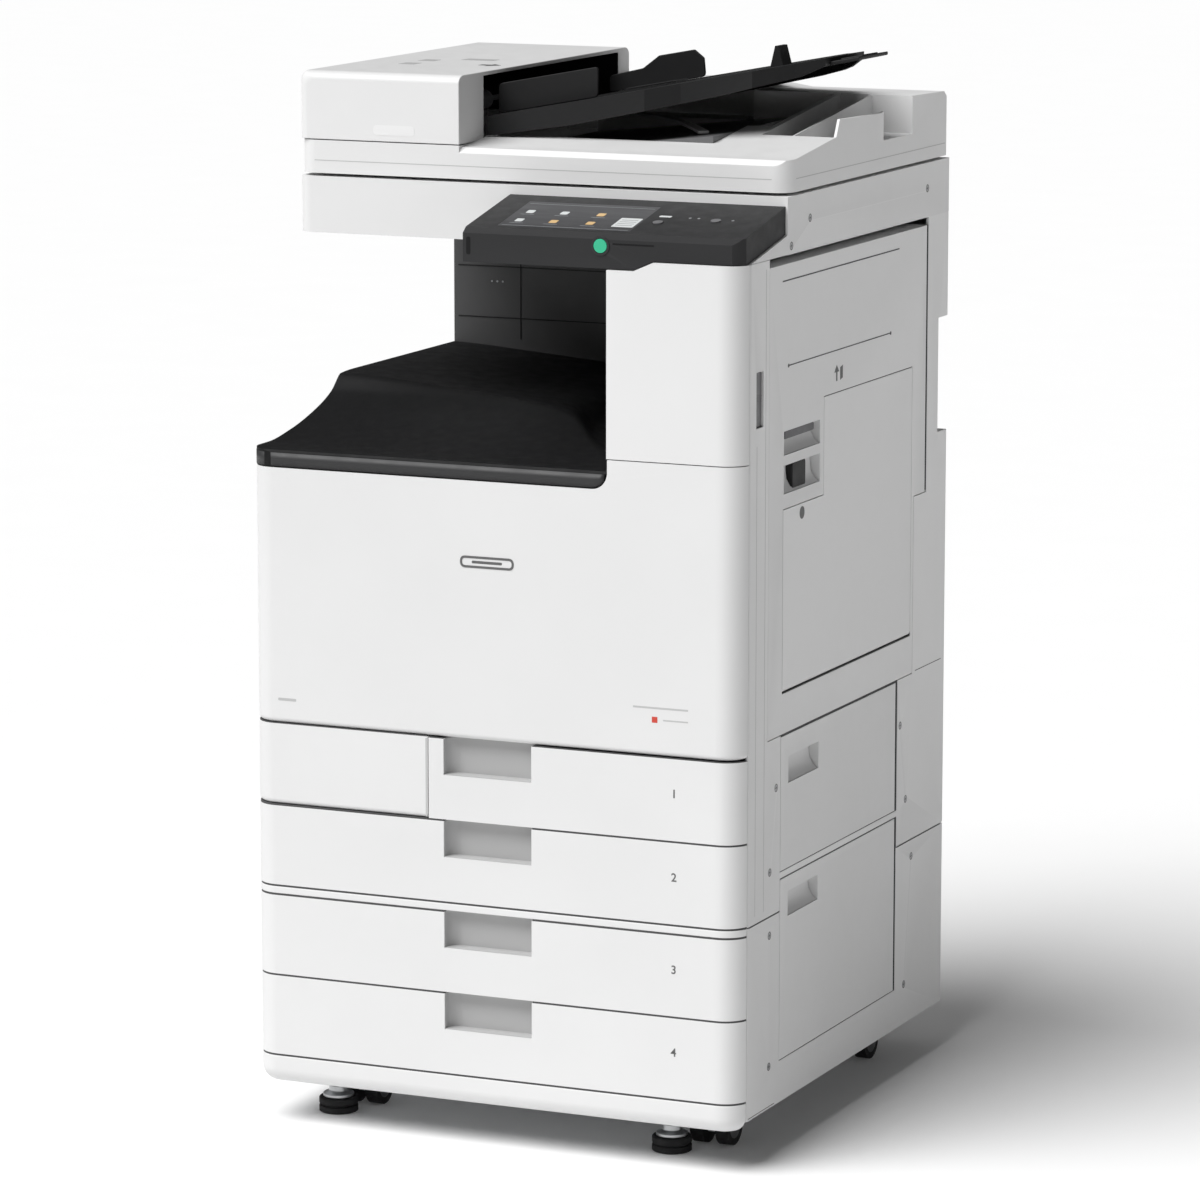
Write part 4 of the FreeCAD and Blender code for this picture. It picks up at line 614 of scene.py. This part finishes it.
def front_bands():
    """The plinth, the strip between the units, dark strips of painted shade in the front gaps and a grey line
    of painted shade at the waste cover's right-hand edge.
    """
    low, high = edge("front_trim", 0, "z"), edge("cassette_4", 0, "z") - GAP
    turn, steps = 17, 8
    angles = [math.pi / 2 * i / steps for i in range(steps + 1)]
    profile = [(turn * (1 - math.sin(angle)), low + turn * (1 - math.cos(angle))) for angle in angles]
    profile += [(0, high), (19, high), (19, low)]
    plinth = trim_band("plinth", profile, "cabinet", "shell", 0.9)
    strip_low, strip_high = edge("cassette_3", 1, "z") + GAP, edge("cassette_2", 0, "z") - GAP
    trim_band("middle_strip", [(0, strip_low), (0, strip_high), (16, strip_high), (16, strip_low)],
              "cabinet", "shell", 0.9)
    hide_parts("front_trim")
    # Dark strips in the gaps above the plinth and the middle strip, and between the fronts, paint the shade
    # in these gaps.
    for name, z in (("plinth", high), ("strip", strip_high)):
        trim_band(f"{name}_gap_shade", [(0.5, z - 0.1), (0.5, z + 2.0), (12, z + 2.0), (12, z - 0.1)], "cabinet",
                  "groove")
    gap_shades = [(f"cassette_{row}", GAP, None, -58) for row in (2, 3, 4)]
    gap_shades += [(f"cassette_{row}", GAP, 49, None) for row in (2, 3, 4)]
    gap_shades += [("cassette_1", GAP / 2, 49, None), ("cassette_1", GAP / 2, -74, -58),
              ("waste_toner_cover", GAP / 2, None, -77)]
    for index, (body, gap, start, end) in enumerate(gap_shades):
        z = edge(body, 1, "z")
        profile = [(0.5, z - 0.1), (0.5, z + gap - 0.2), (9, z + gap - 0.2), (9, z - 0.1)]
        trim_band(f"front_gap_shade_{index}", profile, body, "groove", 0, start, end)
    # A grey line at the waste cover's right-hand edge paints the shade of that edge.
    low_z, high_z = edges("waste_toner_cover", "z")
    right = edge("waste_toner_cover", 1, "x")
    slab("waste_cover_edge", "xz", [box_outline(right - 2.6, right - 0.4, low_z + 1.5, high_z - 1.5)],
         -0.12, 0.6, "waste_toner_cover", "print_pale")


CASSETTE_FLOOR = 7.85  # height of a cassette's inside floor above its lowest edge


def paper_stacks():
    """Sheets, side guides and an end guide in each cassette; the top cassette is the narrow one."""
    for row in (1, 2, 3, 4):
        body = f"cassette_{row}"
        base = edge(body, 0, "z") + CASSETTE_FLOOR
        left = -200 if row > 1 else -30
        slab(f"paper_{row}", "xy", [box_outline(left, 190, 96, 393)], base, base + 32, body, "paper", 0.4)
        guide = [(left + 40, base), (left + 130, base), (left + 124, base + 44), (left + 46, base + 44)]
        for word, y in (("front", 90), ("rear", 395)):
            slab(f"side_guide_{word}_{row}", "xz", [eased(guide, 5)], y, y + 4, body, "unit_grey", 0.5)
        slab(f"end_guide_{row}", "yz", [eased(box_outline(215, 275, base, base + 42), 6)],
             left - 7, left - 3, body, "unit_grey", 0.5)


# ------------------------------------------------------------------ behind the front covers
BOTTLE_X, BOTTLE_PITCH, BOTTLE_Z = -225, 84, 688
BOTTLE = [(0, 18), (0.5, 26), (3, 30), (10, 32), (14, 32), (16, 34), (330, 34), (340, 30), (345, 18)]
BOTTLE_CAP = [(0, 13), (0.8, 15), (6, 16), (6.2, 22), (8, 23)]


def toner_bay():
    """Four bottles in a row, the panels, shelf and unit faces round them, and a lever on its mount."""
    for index, toner in enumerate(TONERS):
        x = BOTTLE_X + index * BOTTLE_PITCH
        turned(f"toner_bottle_{toner}", spot(x, 44, BOTTLE_Z), "y", BOTTLE, "cabinet", "unit_grey", 0.6)
        turned(f"toner_cap_{toner}", spot(x, 38, BOTTLE_Z), "y", BOTTLE_CAP, "cabinet", f"toner_{toner}", 0.4)
    slab("inner_panel_left", "xz", [eased(box_outline(-272, -208, 470, 646), 8)], 33, 39, "cabinet",
         "unit_grey", 0.8)
    slab("inner_panel_right", "xz", [eased(box_outline(208, 234, 470, 730), 5)], 31, 37, "cabinet",
         "unit_grey", 0.8)
    slab("inner_shelf", "xz", [box_outline(-281, 232, 646, 650)], 40, 400, "cabinet", "unit_grey", 0.8)
    slab("imaging_face", "xz", [eased(box_outline(-196, 146, 566, 634), 10)], 52, 60, "cabinet",
         "unit_grey", 1.2)
    slab("laser_face", "xz", [eased(box_outline(-196, 56, 486, 534), 8)], 54, 60, "cabinet",
         "unit_grey", 1.2)
    slab("release_lever", "xz", [eased(box_outline(72, 140, 505, 523), 8)], 44, 52, "cabinet",
         "lever_green", 1.4)
    slab("lever_mount", "xz", [disc_outline(84, 514, 14)], 52, 60, "cabinet", "unit_grey", 0.8)


def waste_box():
    """The box for waste toner and its handle."""
    outline = eased(box_outline(-276, -92, 371, 446), 9)
    slab("waste_toner_box", "xz", [outline], 36, 300, "cabinet", "waste_box", 2.5)
    slab("waste_box_handle", "xz", [eased(box_outline(-224, -144, 398, 418), 8)], 31, 36.5, "cabinet",
         "lever_green", 1.2)


# ------------------------------------------------------------------ right-hand side
# Across-positions of the dark strips that paint the shade in the gaps round the doors.
GAP_SHADE_BACK, GAP_SHADE_FRONT = HALF - 4, HALF - 0.5
HOLLOW = HALF - 11.6  # how deep the finger hollows go


def side_lines(name, outlines, body, look="groove"):
    """Thin lines or marks on the right-hand face; the dark lines paint the shade in grooves and seams."""
    slab(name, "yz", outlines, HALF - 0.25, HALF + 0.12, body, look)


def level_line(start, end, z, width):
    return box_outline(start, end, z, z + width)


def side_details():
    """Grooves with their round ends and the covers' seams as lines of painted shade, and small printed marks.
    """
    side_lines("upper_grooves", [level_line(112, 458, 957.5, 1.4), level_line(130, 433, 865.5, 1.2)],
               "right_door")
    side_lines("groove_ends", [disc_outline(y, 866, 2.2, 16) for y in (130, 433)], "right_door", "print_grey")
    arrow = [(268, 832), (272, 832), (272, 842), (277, 842), (270, 850), (263, 842), (268, 842)]
    sheet = [(280, 832), (288, 834), (288, 848), (280, 846)]
    side_lines("jam_marks", [arrow, sheet], "right_door", "print_grey")
    side_lines("bypass_mark", [disc_outline(171, 701, 7, 24)], "right_door", "print_grey")
    # The grey seam lines paint the shade in the seams.
    side_lines("cover_seam_line", [box_outline(66, 66.8, 280, 976), box_outline(41.8, 42.6, 280, 790)],
               "cabinet", "print_pale")
    bottom, top = edges("right_cover_lower", "z")
    side_lines("unit_seams",
               [level_line(26, 112, top - 0.3, 1.2), level_line(466, 606, top - 0.3, 1.2),
                level_line(26, 100, bottom + 2, 0.8)], "cabinet")
    back = edge("right_rear_cover", 1, "y")
    side_lines("rear_seam_line", [level_line(520, back - 8, 466.5, 0.8)], "cabinet")


def door_seals():
    """Dark strips of painted shade in the gaps round the doors on the right."""
    for name in ("middle_right_door", "lower_right_door"):
        front, back = edges(name, "y")
        low, high = edges(name, "z")
        outer = box_outline(front - GAP, back + GAP, low - GAP, high + GAP)
        inner = box_outline(front - 0.1, back + 0.1, low - 0.1, high + 0.1)
        ring_outlines(f"{name}_gap_shade", outer, inner, GAP_SHADE_BACK, GAP_SHADE_FRONT, "cabinet", "groove", "yz")
    front, back = edges("right_door", "y")
    bottom, top = edges("right_door", "z")
    slab("right_door_gap_shade", "yz",
         [box_outline(front - GAP + 0.3, front - 0.1, bottom, top),
          box_outline(back + 0.1, back + 1, 672, top)],
         GAP_SHADE_BACK, GAP_SHADE_FRONT, "cabinet", "groove")
    front, back = edges("bypass_tray", "y")
    low, high = edges("bypass_tray", "z")
    slab("bypass_gap_shade", "yz",
         [box_outline(front - 1, back + 1, low - 1.3, low - 0.1),
          box_outline(back + 0.1, back + 1, low, high),
          box_outline(front + 117, back, high + 0.1, high + 1)],
         GAP_SHADE_BACK, HALF - 0.4, "right_door", "groove")


def finger_pulls():
    """Sloping inner faces of the doors' finger hollows, and the two levers in them."""
    pulls = {
        "lower_right_door": [(137, 223, 261, 289)], "middle_right_door": [(137, 223, 409, 439)],
        "right_door": [(119, 221, 728, 759), (119, 221, 770, 796)],
    }
    for body, hollows in pulls.items():
        for index, (front, back, low, high) in enumerate(hollows):
            bm = bmesh.new()
            profile = [(HOLLOW, low + 0.4), (HALF - 1, low + 0.4), (HALF - 6, low + 5),
                       (HALF - 10, low + 12), (HOLLOW, high - 4)]
            joined(bm, *[[bm.verts.new(spot(x, y, z)) for x, z in profile] for y in (front, back)])
            finish_piece(f"{body}_pull_{index}", bm, body, "shell", 1.0)
    slab("latch_lever", "yz", [eased(box_outline(150, 188, 729, 758), 4)], HALF - 11.5, HALF - 3,
         "right_door", "feeder_black", 1.0)
    slab("bypass_lever", "yz", [eased(box_outline(128, 212, 786, 795), 3)], HALF - 11.5, HALF - 3,
         "right_door", "unit_grey", 1.0)


def switch_details():
    """Three ridges on the rocker and a dark well behind it."""
    low, high = edges("power_switch", "z")
    centre = middle("power_switch", "z")
    front, back = edges("power_switch", "y")
    face = edge("power_switch", 1, "x")
    slab("switch_ridges", "yz",
         [box_outline(front + 3, back - 3, centre + z, centre + z + 1) for z in (-3, 0, 3)],
         face - 0.3, face + 0.5, "power_switch", "grey_key")
    slab("switch_well", "yz", [box_outline(front - 0.4, back + 0.4, low - 1, high + 1)],
         face - 9.5, face - 8, "cabinet", "dark_plastic")


def screw_heads():
    """Rims and crosses of the screws in the right-hand covers; the crosses are dark marks of painted shade in
    the slots.
    """
    arm, thin = 2.2, 0.5
    spots = [(84, 320), (84, 250), (84, 104), (101, 410), (493, 322), (513, 251), (493, 104), (474, 411),
             (189, 1019), (545, 1018), (136, 994)]
    slots = []
    for y, z in spots:
        slots.append(box_outline(y - arm, y + arm, z - thin, z + thin))
        slots.append(box_outline(y - thin, y + thin, z - arm, z + arm))
    # The crosses paint the shade in the screws' slots.
    slab("screw_crosses", "yz", slots, HALF - 0.2, HALF + 0.06, "cabinet", "groove")
    for index, (y, z) in enumerate(spots):
        ring_outlines(f"screw_rim_{index}", disc_outline(y, z, 4.6, 24), disc_outline(y, z, 3.4, 24),
                      HALF - 0.3, HALF + 0.1, "cabinet", "print_grey", "yz")


# ------------------------------------------------------------------ control panel
PANEL_START = 12  # where the panel's slope starts, behind the fronts
NOSE = 1013  # height of the slope's front edge
PANEL_END = edge("control_panel_housing", 1, "y")
PANEL_TOP = edge("control_panel_housing", 1, "z")
PANEL_ANGLE = math.atan2(PANEL_TOP - NOSE, PANEL_END - PANEL_START)
PANEL = Matrix.Translation(spot(0, PANEL_START, NOSE)) @ Matrix.Rotation(PANEL_ANGLE, 4, "X")


def on_panel(name, outlines, low, high, body, look, bevel=0.0):
    """A thin piece lying on the panel's slope; outlines are (x, distance up the slope)."""
    bm = bmesh.new()
    for outline in outlines:
        joined(bm, *[[bm.verts.new(PANEL @ (Vector((u, v, w)) * MM)) for u, v in outline]
                     for w in (low, high)])
    return finish_piece(name, bm, body, look, bevel)


def panel_details():
    """What the screen shows, the key marks, and the start key's bezel, bar and slot on the front."""
    slope = math.cos(PANEL_ANGLE)
    rows = ((41 - PANEL_START) / slope, (70 - PANEL_START) / slope)
    for column, x in enumerate((17, 57, 100)):
        for line, v in enumerate(rows):
            look = "icon_warm" if (column, line) in ((1, 0), (2, 0), (2, 1)) else "icon"
            on_panel(f"icon_{column}_{line}", [eased(box_outline(x - 4.5, x + 4.5, v - 5, v + 5), 2)],
                     PRINT_LOW, PRINT_HIGH, "cabinet", look)
            on_panel(f"icon_line_{column}_{line}", [box_outline(x - 8, x + 8, v - 10, v - 9)],
                     PRINT_LOW, PRINT_HIGH, "cabinet", "icon_dim")
    low, high = (33 - PANEL_START) / slope, (63 - PANEL_START) / slope
    on_panel("status_field", [eased(box_outline(127, 152, low, high), 1.5)], PRINT_LOW, PRINT_HIGH,
             "cabinet", "icon")
    on_panel("status_lines", [box_outline(130, 149, low + 5 + 6 * i, low + 6.5 + 6 * i) for i in range(4)],
             0.1, 0.2, "cabinet", "icon_dim")
    on_panel("bottom_bar", [box_outline(4, 151, 11, 11.8), box_outline(4, 151, 86, 86.8)],
             PRINT_LOW, PRINT_HIGH, "cabinet", "icon_dim")
    on_panel("screen_surround", [eased(box_outline(-3, 158, 5, 97), 4)], -0.4, -0.02, "cabinet",
             "panel_plastic")
    on_panel("home_mark", [eased(box_outline(166, 180, 61, 66), 2)], -0.3, 0.15, "cabinet", "icon")
    on_panel("key_marks", [disc_outline(202, 62, 1.6, 16), disc_outline(212, 62, 1.6, 16),
                           disc_outline(252, 60, 1.6, 16)], -0.3, 0.15, "cabinet", "icon_dim")
    front = edge("control_panel_housing", 0, "y")
    outer = disc_outline(128, 1000, 10.5, 40)
    inner = disc_outline(128, 1000, 8.2, 40)
    ring_outlines("start_bezel", outer, inner, front - 0.9, front + 1, "cabinet", "panel_plastic")
    slab("start_bar", "xz", [eased(box_outline(142, 190, 1001.6, 1003.4), 0.8)], front - 0.15, front + 0.3,
         "cabinet", "tray_plastic")
    left = edge("control_panel_housing", 0, "x")
    slab("panel_slot", "xz", [eased(box_outline(left + 4, left + 9, 984, 1003), 2.3)], front - 0.15,
         front + 0.6, "cabinet", "tray_plastic")


# ------------------------------------------------------------------ feeder
BED_X, BED_Z, BED_SLOPE = -94, 1114, 0.1865


def bed(x):
    """Height of the input tray's surface."""
    return BED_Z + (x - BED_X) * BED_SLOPE


def sloped(name, outlines, y0, y1, body, look, bevel=0.0):
    """A piece on the input tray: outlines are (x, height above the tray's surface)."""
    lines = [[(x, bed(x) + height) for x, height in line] for line in outlines]
    return slab(name, "xz", lines, y0, y1, body, look, bevel)


def guide_pair():
    """The two paper guides, the rear one with a lowered back end, each with a foot across the tray."""
    front = box_outline(-92, 28, 0.4, 33.5)
    rear = [(-92, 0.4), (28, 0.4), (26, 22), (14, 33.5), (-30, 33.5), (-50, 22), (-92, 20)]
    for word, outline, foot_start in (("front", front, 4), ("rear", rear, -34)):
        node = f"adf_guide_{word}"
        y = edge(node, 0, "y")
        blade = sloped(f"guide_blade_{word}", [eased(outline, 5)], y + 1.2, y + 4.8, node,
                       "feeder_black", 0.8)
        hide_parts(node)
        sloped(f"guide_foot_{word}", [[(-60, 0.4), (10, 0.4), (4, 2.4), (-54, 2.4)]],
               y + foot_start, y + foot_start + 36, node, "feeder_black", 0.4)


def input_tray_details():
    """Low ribs across the input tray and the pull under its extension."""
    for index, y in enumerate(range(250, 510, 26)):
        sloped(f"input_rib_{index}", [[(-84, -0.2), (86, -0.2), (86, 0.25), (-84, 0.25)]], y, y + 2.4,
               "adf_input_tray", "feeder_black")
    sloped("extension_grip", [[(262, -8), (288, -8), (288, -3), (262, -3)]], 352, 398, "adf_tray_extension",
           "feeder_black", 1.0)


def feeder_cover():
    """The feeder's cover as a rounded shell, open below and at its mouth on the right."""
    low, top = edges("adf_top_cover", "z")
    front, back = edges("adf_top_cover", "y")
    left, right = edges("adf_top_cover", "x")
    mouth_near, mouth_far, mouth_roof = 192, 558, 1158.5
    upper, upright, steps = 9, 12, 8
    rings = []
    stations = [(share, 0) for share in range(steps + 1)] + [(share, 1) for share in range(steps, -1, -1)]
    for share, end in stations:
        turn = math.pi / 2 * share / steps
        inset = 1 - math.sin(turn)
        reach = upright * (1 - math.cos(turn))
        y = front + reach if end == 0 else back - reach
        side, roof = left + upright * inset, top - upper * inset
        ring = [(side, low), (side, roof - upper)]
        for i in range(1, steps + 1):
            angle = math.pi / 2 * i / steps
            ring.append((side + upper - upper * math.cos(angle), roof - upper + upper * math.sin(angle)))
        rings.append((y, ring + [(right, roof)]))
    bm = bmesh.new()
    loops = [[bm.verts.new(spot(x, y, z)) for x, z in ring] for y, ring in rings]
    for first, second in zip(loops, loops[1:]):
        for i in range(len(first) - 1):
            bm.faces.new((first[i], first[i + 1], second[i + 1], second[i]))
    feet = [bm.verts.new(spot(right, y, low)) for y in (front, mouth_near, mouth_far, back)]
    lintel = [bm.verts.new(spot(right, y, mouth_roof)) for y in (mouth_near, mouth_far)]
    bm.faces.new(loops[0] + [feet[0]])
    bm.faces.new(loops[-1] + [feet[3]])
    mouth = [feet[3], feet[2], lintel[1], lintel[0], feet[1]]
    bm.faces.new([feet[0]] + [loop[-1] for loop in loops] + mouth)
    shell = finish_piece("feeder_cover_shell", bm, "adf_top_cover", "reader")
    wall = shell.modifiers.new("thickness", "SOLIDIFY")
    wall.thickness = 2.5 * MM
    wall.offset = -1
    soften(shell, 1.2)
    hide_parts("adf_top_cover")
    bm = bmesh.new()
    lining = [[bm.verts.new(spot(x, y, z)) for y, z in ((mouth_near, low), (mouth_near, mouth_roof),
                                                        (mouth_far, mouth_roof), (mouth_far, low))]
              for x in (left + 18, right - 0.4)]
    for i in range(3):
        bm.faces.new((lining[0][i], lining[0][i + 1], lining[1][i + 1], lining[1][i]))
    tunnel = finish_piece("feeder_cover_lining", bm, "adf_top_cover", "feeder_black")
    wall = tunnel.modifiers.new("thickness", "SOLIDIFY")
    wall.thickness = 2 * MM
    wall.offset = 1


def feeder_details():
    """Marks and a pull on the feeder's cover, grooves round the lid's rim as grey lines of painted shade, and
    the arm in the sheet well.
    """
    top = edge("adf_top_cover", 1, "z")
    body = "adf_top_cover"
    marks = [eased(box_outline(-230, -210, y, y + 24), 3) for y in (250, 300)]
    marks.append(eased(box_outline(-190, -150, 330, 352), 3))
    slab("feeder_marks", "xy", marks, top + PRINT_LOW, top + PRINT_HIGH, body, "print_pale")
    arrow = [(-140, 270), (-128, 270), (-128, 262), (-114, 276), (-128, 290), (-128, 282), (-140, 282)]
    slab("feeder_arrow", "xy", [arrow], top + PRINT_LOW, top + PRINT_HIGH, body, "print_grey")
    front = edge("adf_top_cover", 0, "y")
    slab("cover_pull", "xz", [eased(box_outline(-200, -150, 1095, 1106), 5)], front - 0.2, front + 0.3,
         body, "reader")
    # The rim's groove is a grey line of painted shade.
    z = edge("adf_lid", 0, "z") + 17
    front = edge("adf_lid", 0, "y")
    slab("rim_groove_front", "xz", [box_outline(20 - HALF, HALF - 20, z, z + 0.9)],
         front - 0.12, front + 0.3, "adf_lid", "print_pale")
    slab("rim_groove_right", "yz", [box_outline(front + 20, 600, z, z + 0.9)],
         HALF - 0.3, HALF + 0.12, "adf_lid", "print_pale")
    path = [(-26, 444), (20, 415), (66, 366), (105, 310), (140, 255)]
    half_wide, arm_low, arm_high = 4.5, 1098.2, 1101.5
    outline = [(x + half_wide, y + half_wide) for x, y in path]
    outline += [(x - half_wide, y - half_wide) for x, y in reversed(path)]
    slab("sheet_arm", "xy", [outline], arm_low, arm_high, "adf_input_tray", "arm_grey", 0.8)


# ------------------------------------------------------------------ rear and underside
def rear_details():
    """Screws, a field of sockets and a blank plate on the back."""
    bm = bmesh.new()
    for x in (-270, 0, 270):
        for z in (90, 240, 300, 500, 700, 960):
            if (x, z) != (270, 700):
                lathe(bm, spot(x, DEPTH - 0.6, z), "y", [(0, 3.4), (1.0, 3.4), (1.6, 2.6)], 20)
    finish_piece("rear_screws", bm, "cabinet", "screw")
    slab("port_plate", "xz", [eased(box_outline(120, 200, 300, 420), 4)], DEPTH - 0.6, DEPTH + 0.8,
         "cabinet", "unit_grey", 0.4)
    ports = [box_outline(132, 150, 396 - 26 * i, 410 - 26 * i) for i in range(4)]
    ports += [box_outline(164, 188, 388 - 30 * i, 402 - 30 * i) for i in range(3)]
    slab("ports", "xz", ports, DEPTH + 0.6, DEPTH + 1.1, "cabinet", "tray_plastic")
    slab("rating_blank", "xz", [eased(box_outline(-120, -40, 180, 230), 3)], DEPTH - 0.2, DEPTH + 0.2,
         "cabinet", "print_pale")


PAD = [(0, 20), (0.8, 22.0), (7, 22.0), (8, 19.5), (9, 19.5), (10, 22.0), (16, 22.0), (17.5, 20.5)]
NUT = [(17, 16.5), (17.8, 17.5), (21, 17.5), (22, 16), (24, 11), (30, 10.5)]


def foot_details():
    """The levelling feet: a grooved pad, a nut and a threaded rod each."""
    for word in ("left", "right"):
        node = f"levelling_foot_{word}"
        place = spot(middle(node, "x"), middle(node, "y"), 0)
        pad = turned(f"foot_pad_{word}", place, "z", PAD, node, "rubber", 0.5, 48)
        turned(f"foot_nut_{word}", place, "z", NUT, node, "steel", 0.4)
        turned(f"foot_thread_{word}", place, "z", [(29, 6), (59.6, 6)], node, "steel", 0, 24)
        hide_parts(node)


def wheel_details():
    """Hubs on the outer faces of the twin casters."""
    for node in [name for name in frame["nodes"] if name.startswith("caster_wheel_")]:
        for word, x, way in zip(("left", "right"), edges(node, "x"), (-1, 1)):
            profile = [(-0.4 * way, 15), (0.2 * way, 15), (0.5 * way, 12), (0.5 * way, 6), (0.9 * way, 5)]
            place = spot(x, middle(node, "y"), middle(node, "z"))
            turned(f"{node}_hub_{word}", place, "x", profile[::way], node, "unit_grey", 0, 32)


# ------------------------------------------------------------------ scanner top
def platen_details():
    """A ruler strip along the front of the glass, with size ticks."""
    top = edge("scanner_glass", 1, "z")
    low, high = 160, 164.6
    slab("glass_ruler", "xy", [box_outline(-236, 216, low - 8, high)], top - 0.2, top + 0.25, "cabinet",
         "unit_grey")
    ticks = [box_outline(x, x + 0.8, low - 7, low - 2) for x in range(-225, 212, 15)]
    slab("ruler_ticks", "xy", ticks, top + 0.2, top + 0.3, "cabinet", "print_pale")


output_tray()
cavity_details()
front_prints()
grip_details()
front_bands()
paper_stacks()
toner_bay()
waste_box()
side_details()
door_seals()
finger_pulls()
switch_details()
screw_heads()
panel_details()
guide_pair()
input_tray_details()
feeder_cover()
feeder_details()
rear_details()
foot_details()
wheel_details()
platen_details()


# ------------------------------------------------------------------ floor, light and camera
FLOOR_REACH = 40  # metres
FLOOR_GLOW, SKY = 0.03, 0.12
SUN_POWER, SUN_SPREAD, SUN_FROM, SUN_HEIGHT = 3.8, 45, 30, 54  # the last three in degrees
SENSOR, FOCAL_LENGTH = 36, 168.45
CAMERA_PLACE = spot(2532.7, -5397.9, 1657)
CAMERA_AZIMUTH, CAMERA_DIP = 24, 9.949  # degrees


def stage_floor():
    """A large, nearly white floor."""
    bm = bmesh.new()
    bmesh.ops.create_grid(bm, x_segments=8, y_segments=8, size=FLOOR_REACH)
    mesh = bpy.data.meshes.new("floor")
    bm.to_mesh(mesh)
    bm.free()
    floor = bpy.data.objects.new("floor", mesh)
    bpy.context.scene.collection.objects.link(floor)
    paint = plastic("floor_paint", (0.90, 0.90, 0.90), (0.8, 0.9), 40, 0.0, 0.004, 0.1)
    shader = paint.node_tree.nodes["Principled BSDF"]
    shader.inputs["Emission Color"].default_value = (1, 1, 1, 1)
    shader.inputs["Emission Strength"].default_value = FLOOR_GLOW
    mesh.materials.append(paint)


def studio():
    """Even light from all round and one broad, soft sun from the front left."""
    world = bpy.data.worlds.new("studio")
    bpy.context.scene.world = world
    world.use_nodes = True
    background = world.node_tree.nodes["Background"]
    background.inputs["Color"].default_value = (1, 1, 1, 1)
    background.inputs["Strength"].default_value = SKY
    key = bpy.data.lights.new("key", "SUN")
    key.energy = SUN_POWER
    key.angle = math.radians(SUN_SPREAD)
    lamp = bpy.data.objects.new("key", key)
    bpy.context.scene.collection.objects.link(lamp)
    turn, height = math.radians(SUN_FROM), math.radians(SUN_HEIGHT)
    towards = Vector((math.sin(turn), math.cos(turn), -math.tan(height)))
    lamp.rotation_euler = towards.to_track_quat("-Z", "Y").to_euler()


def camera():
    """A long lens at the front right, looking slightly down."""
    lens = bpy.data.cameras.new("camera")
    lens.sensor_width = SENSOR
    lens.lens = FOCAL_LENGTH
    lens.clip_end = 200
    view = bpy.data.objects.new("camera", lens)
    bpy.context.scene.collection.objects.link(view)
    bpy.context.scene.camera = view
    view.location = CAMERA_PLACE
    azimuth, dip = math.radians(CAMERA_AZIMUTH), math.radians(CAMERA_DIP)
    towards = Vector((-math.sin(azimuth) * math.cos(dip), math.cos(azimuth) * math.cos(dip), -math.sin(dip)))
    view.rotation_euler = towards.to_track_quat("-Z", "Y").to_euler()


stage_floor()
studio()
camera()
bpy.context.scene.view_settings.view_transform = "Standard"
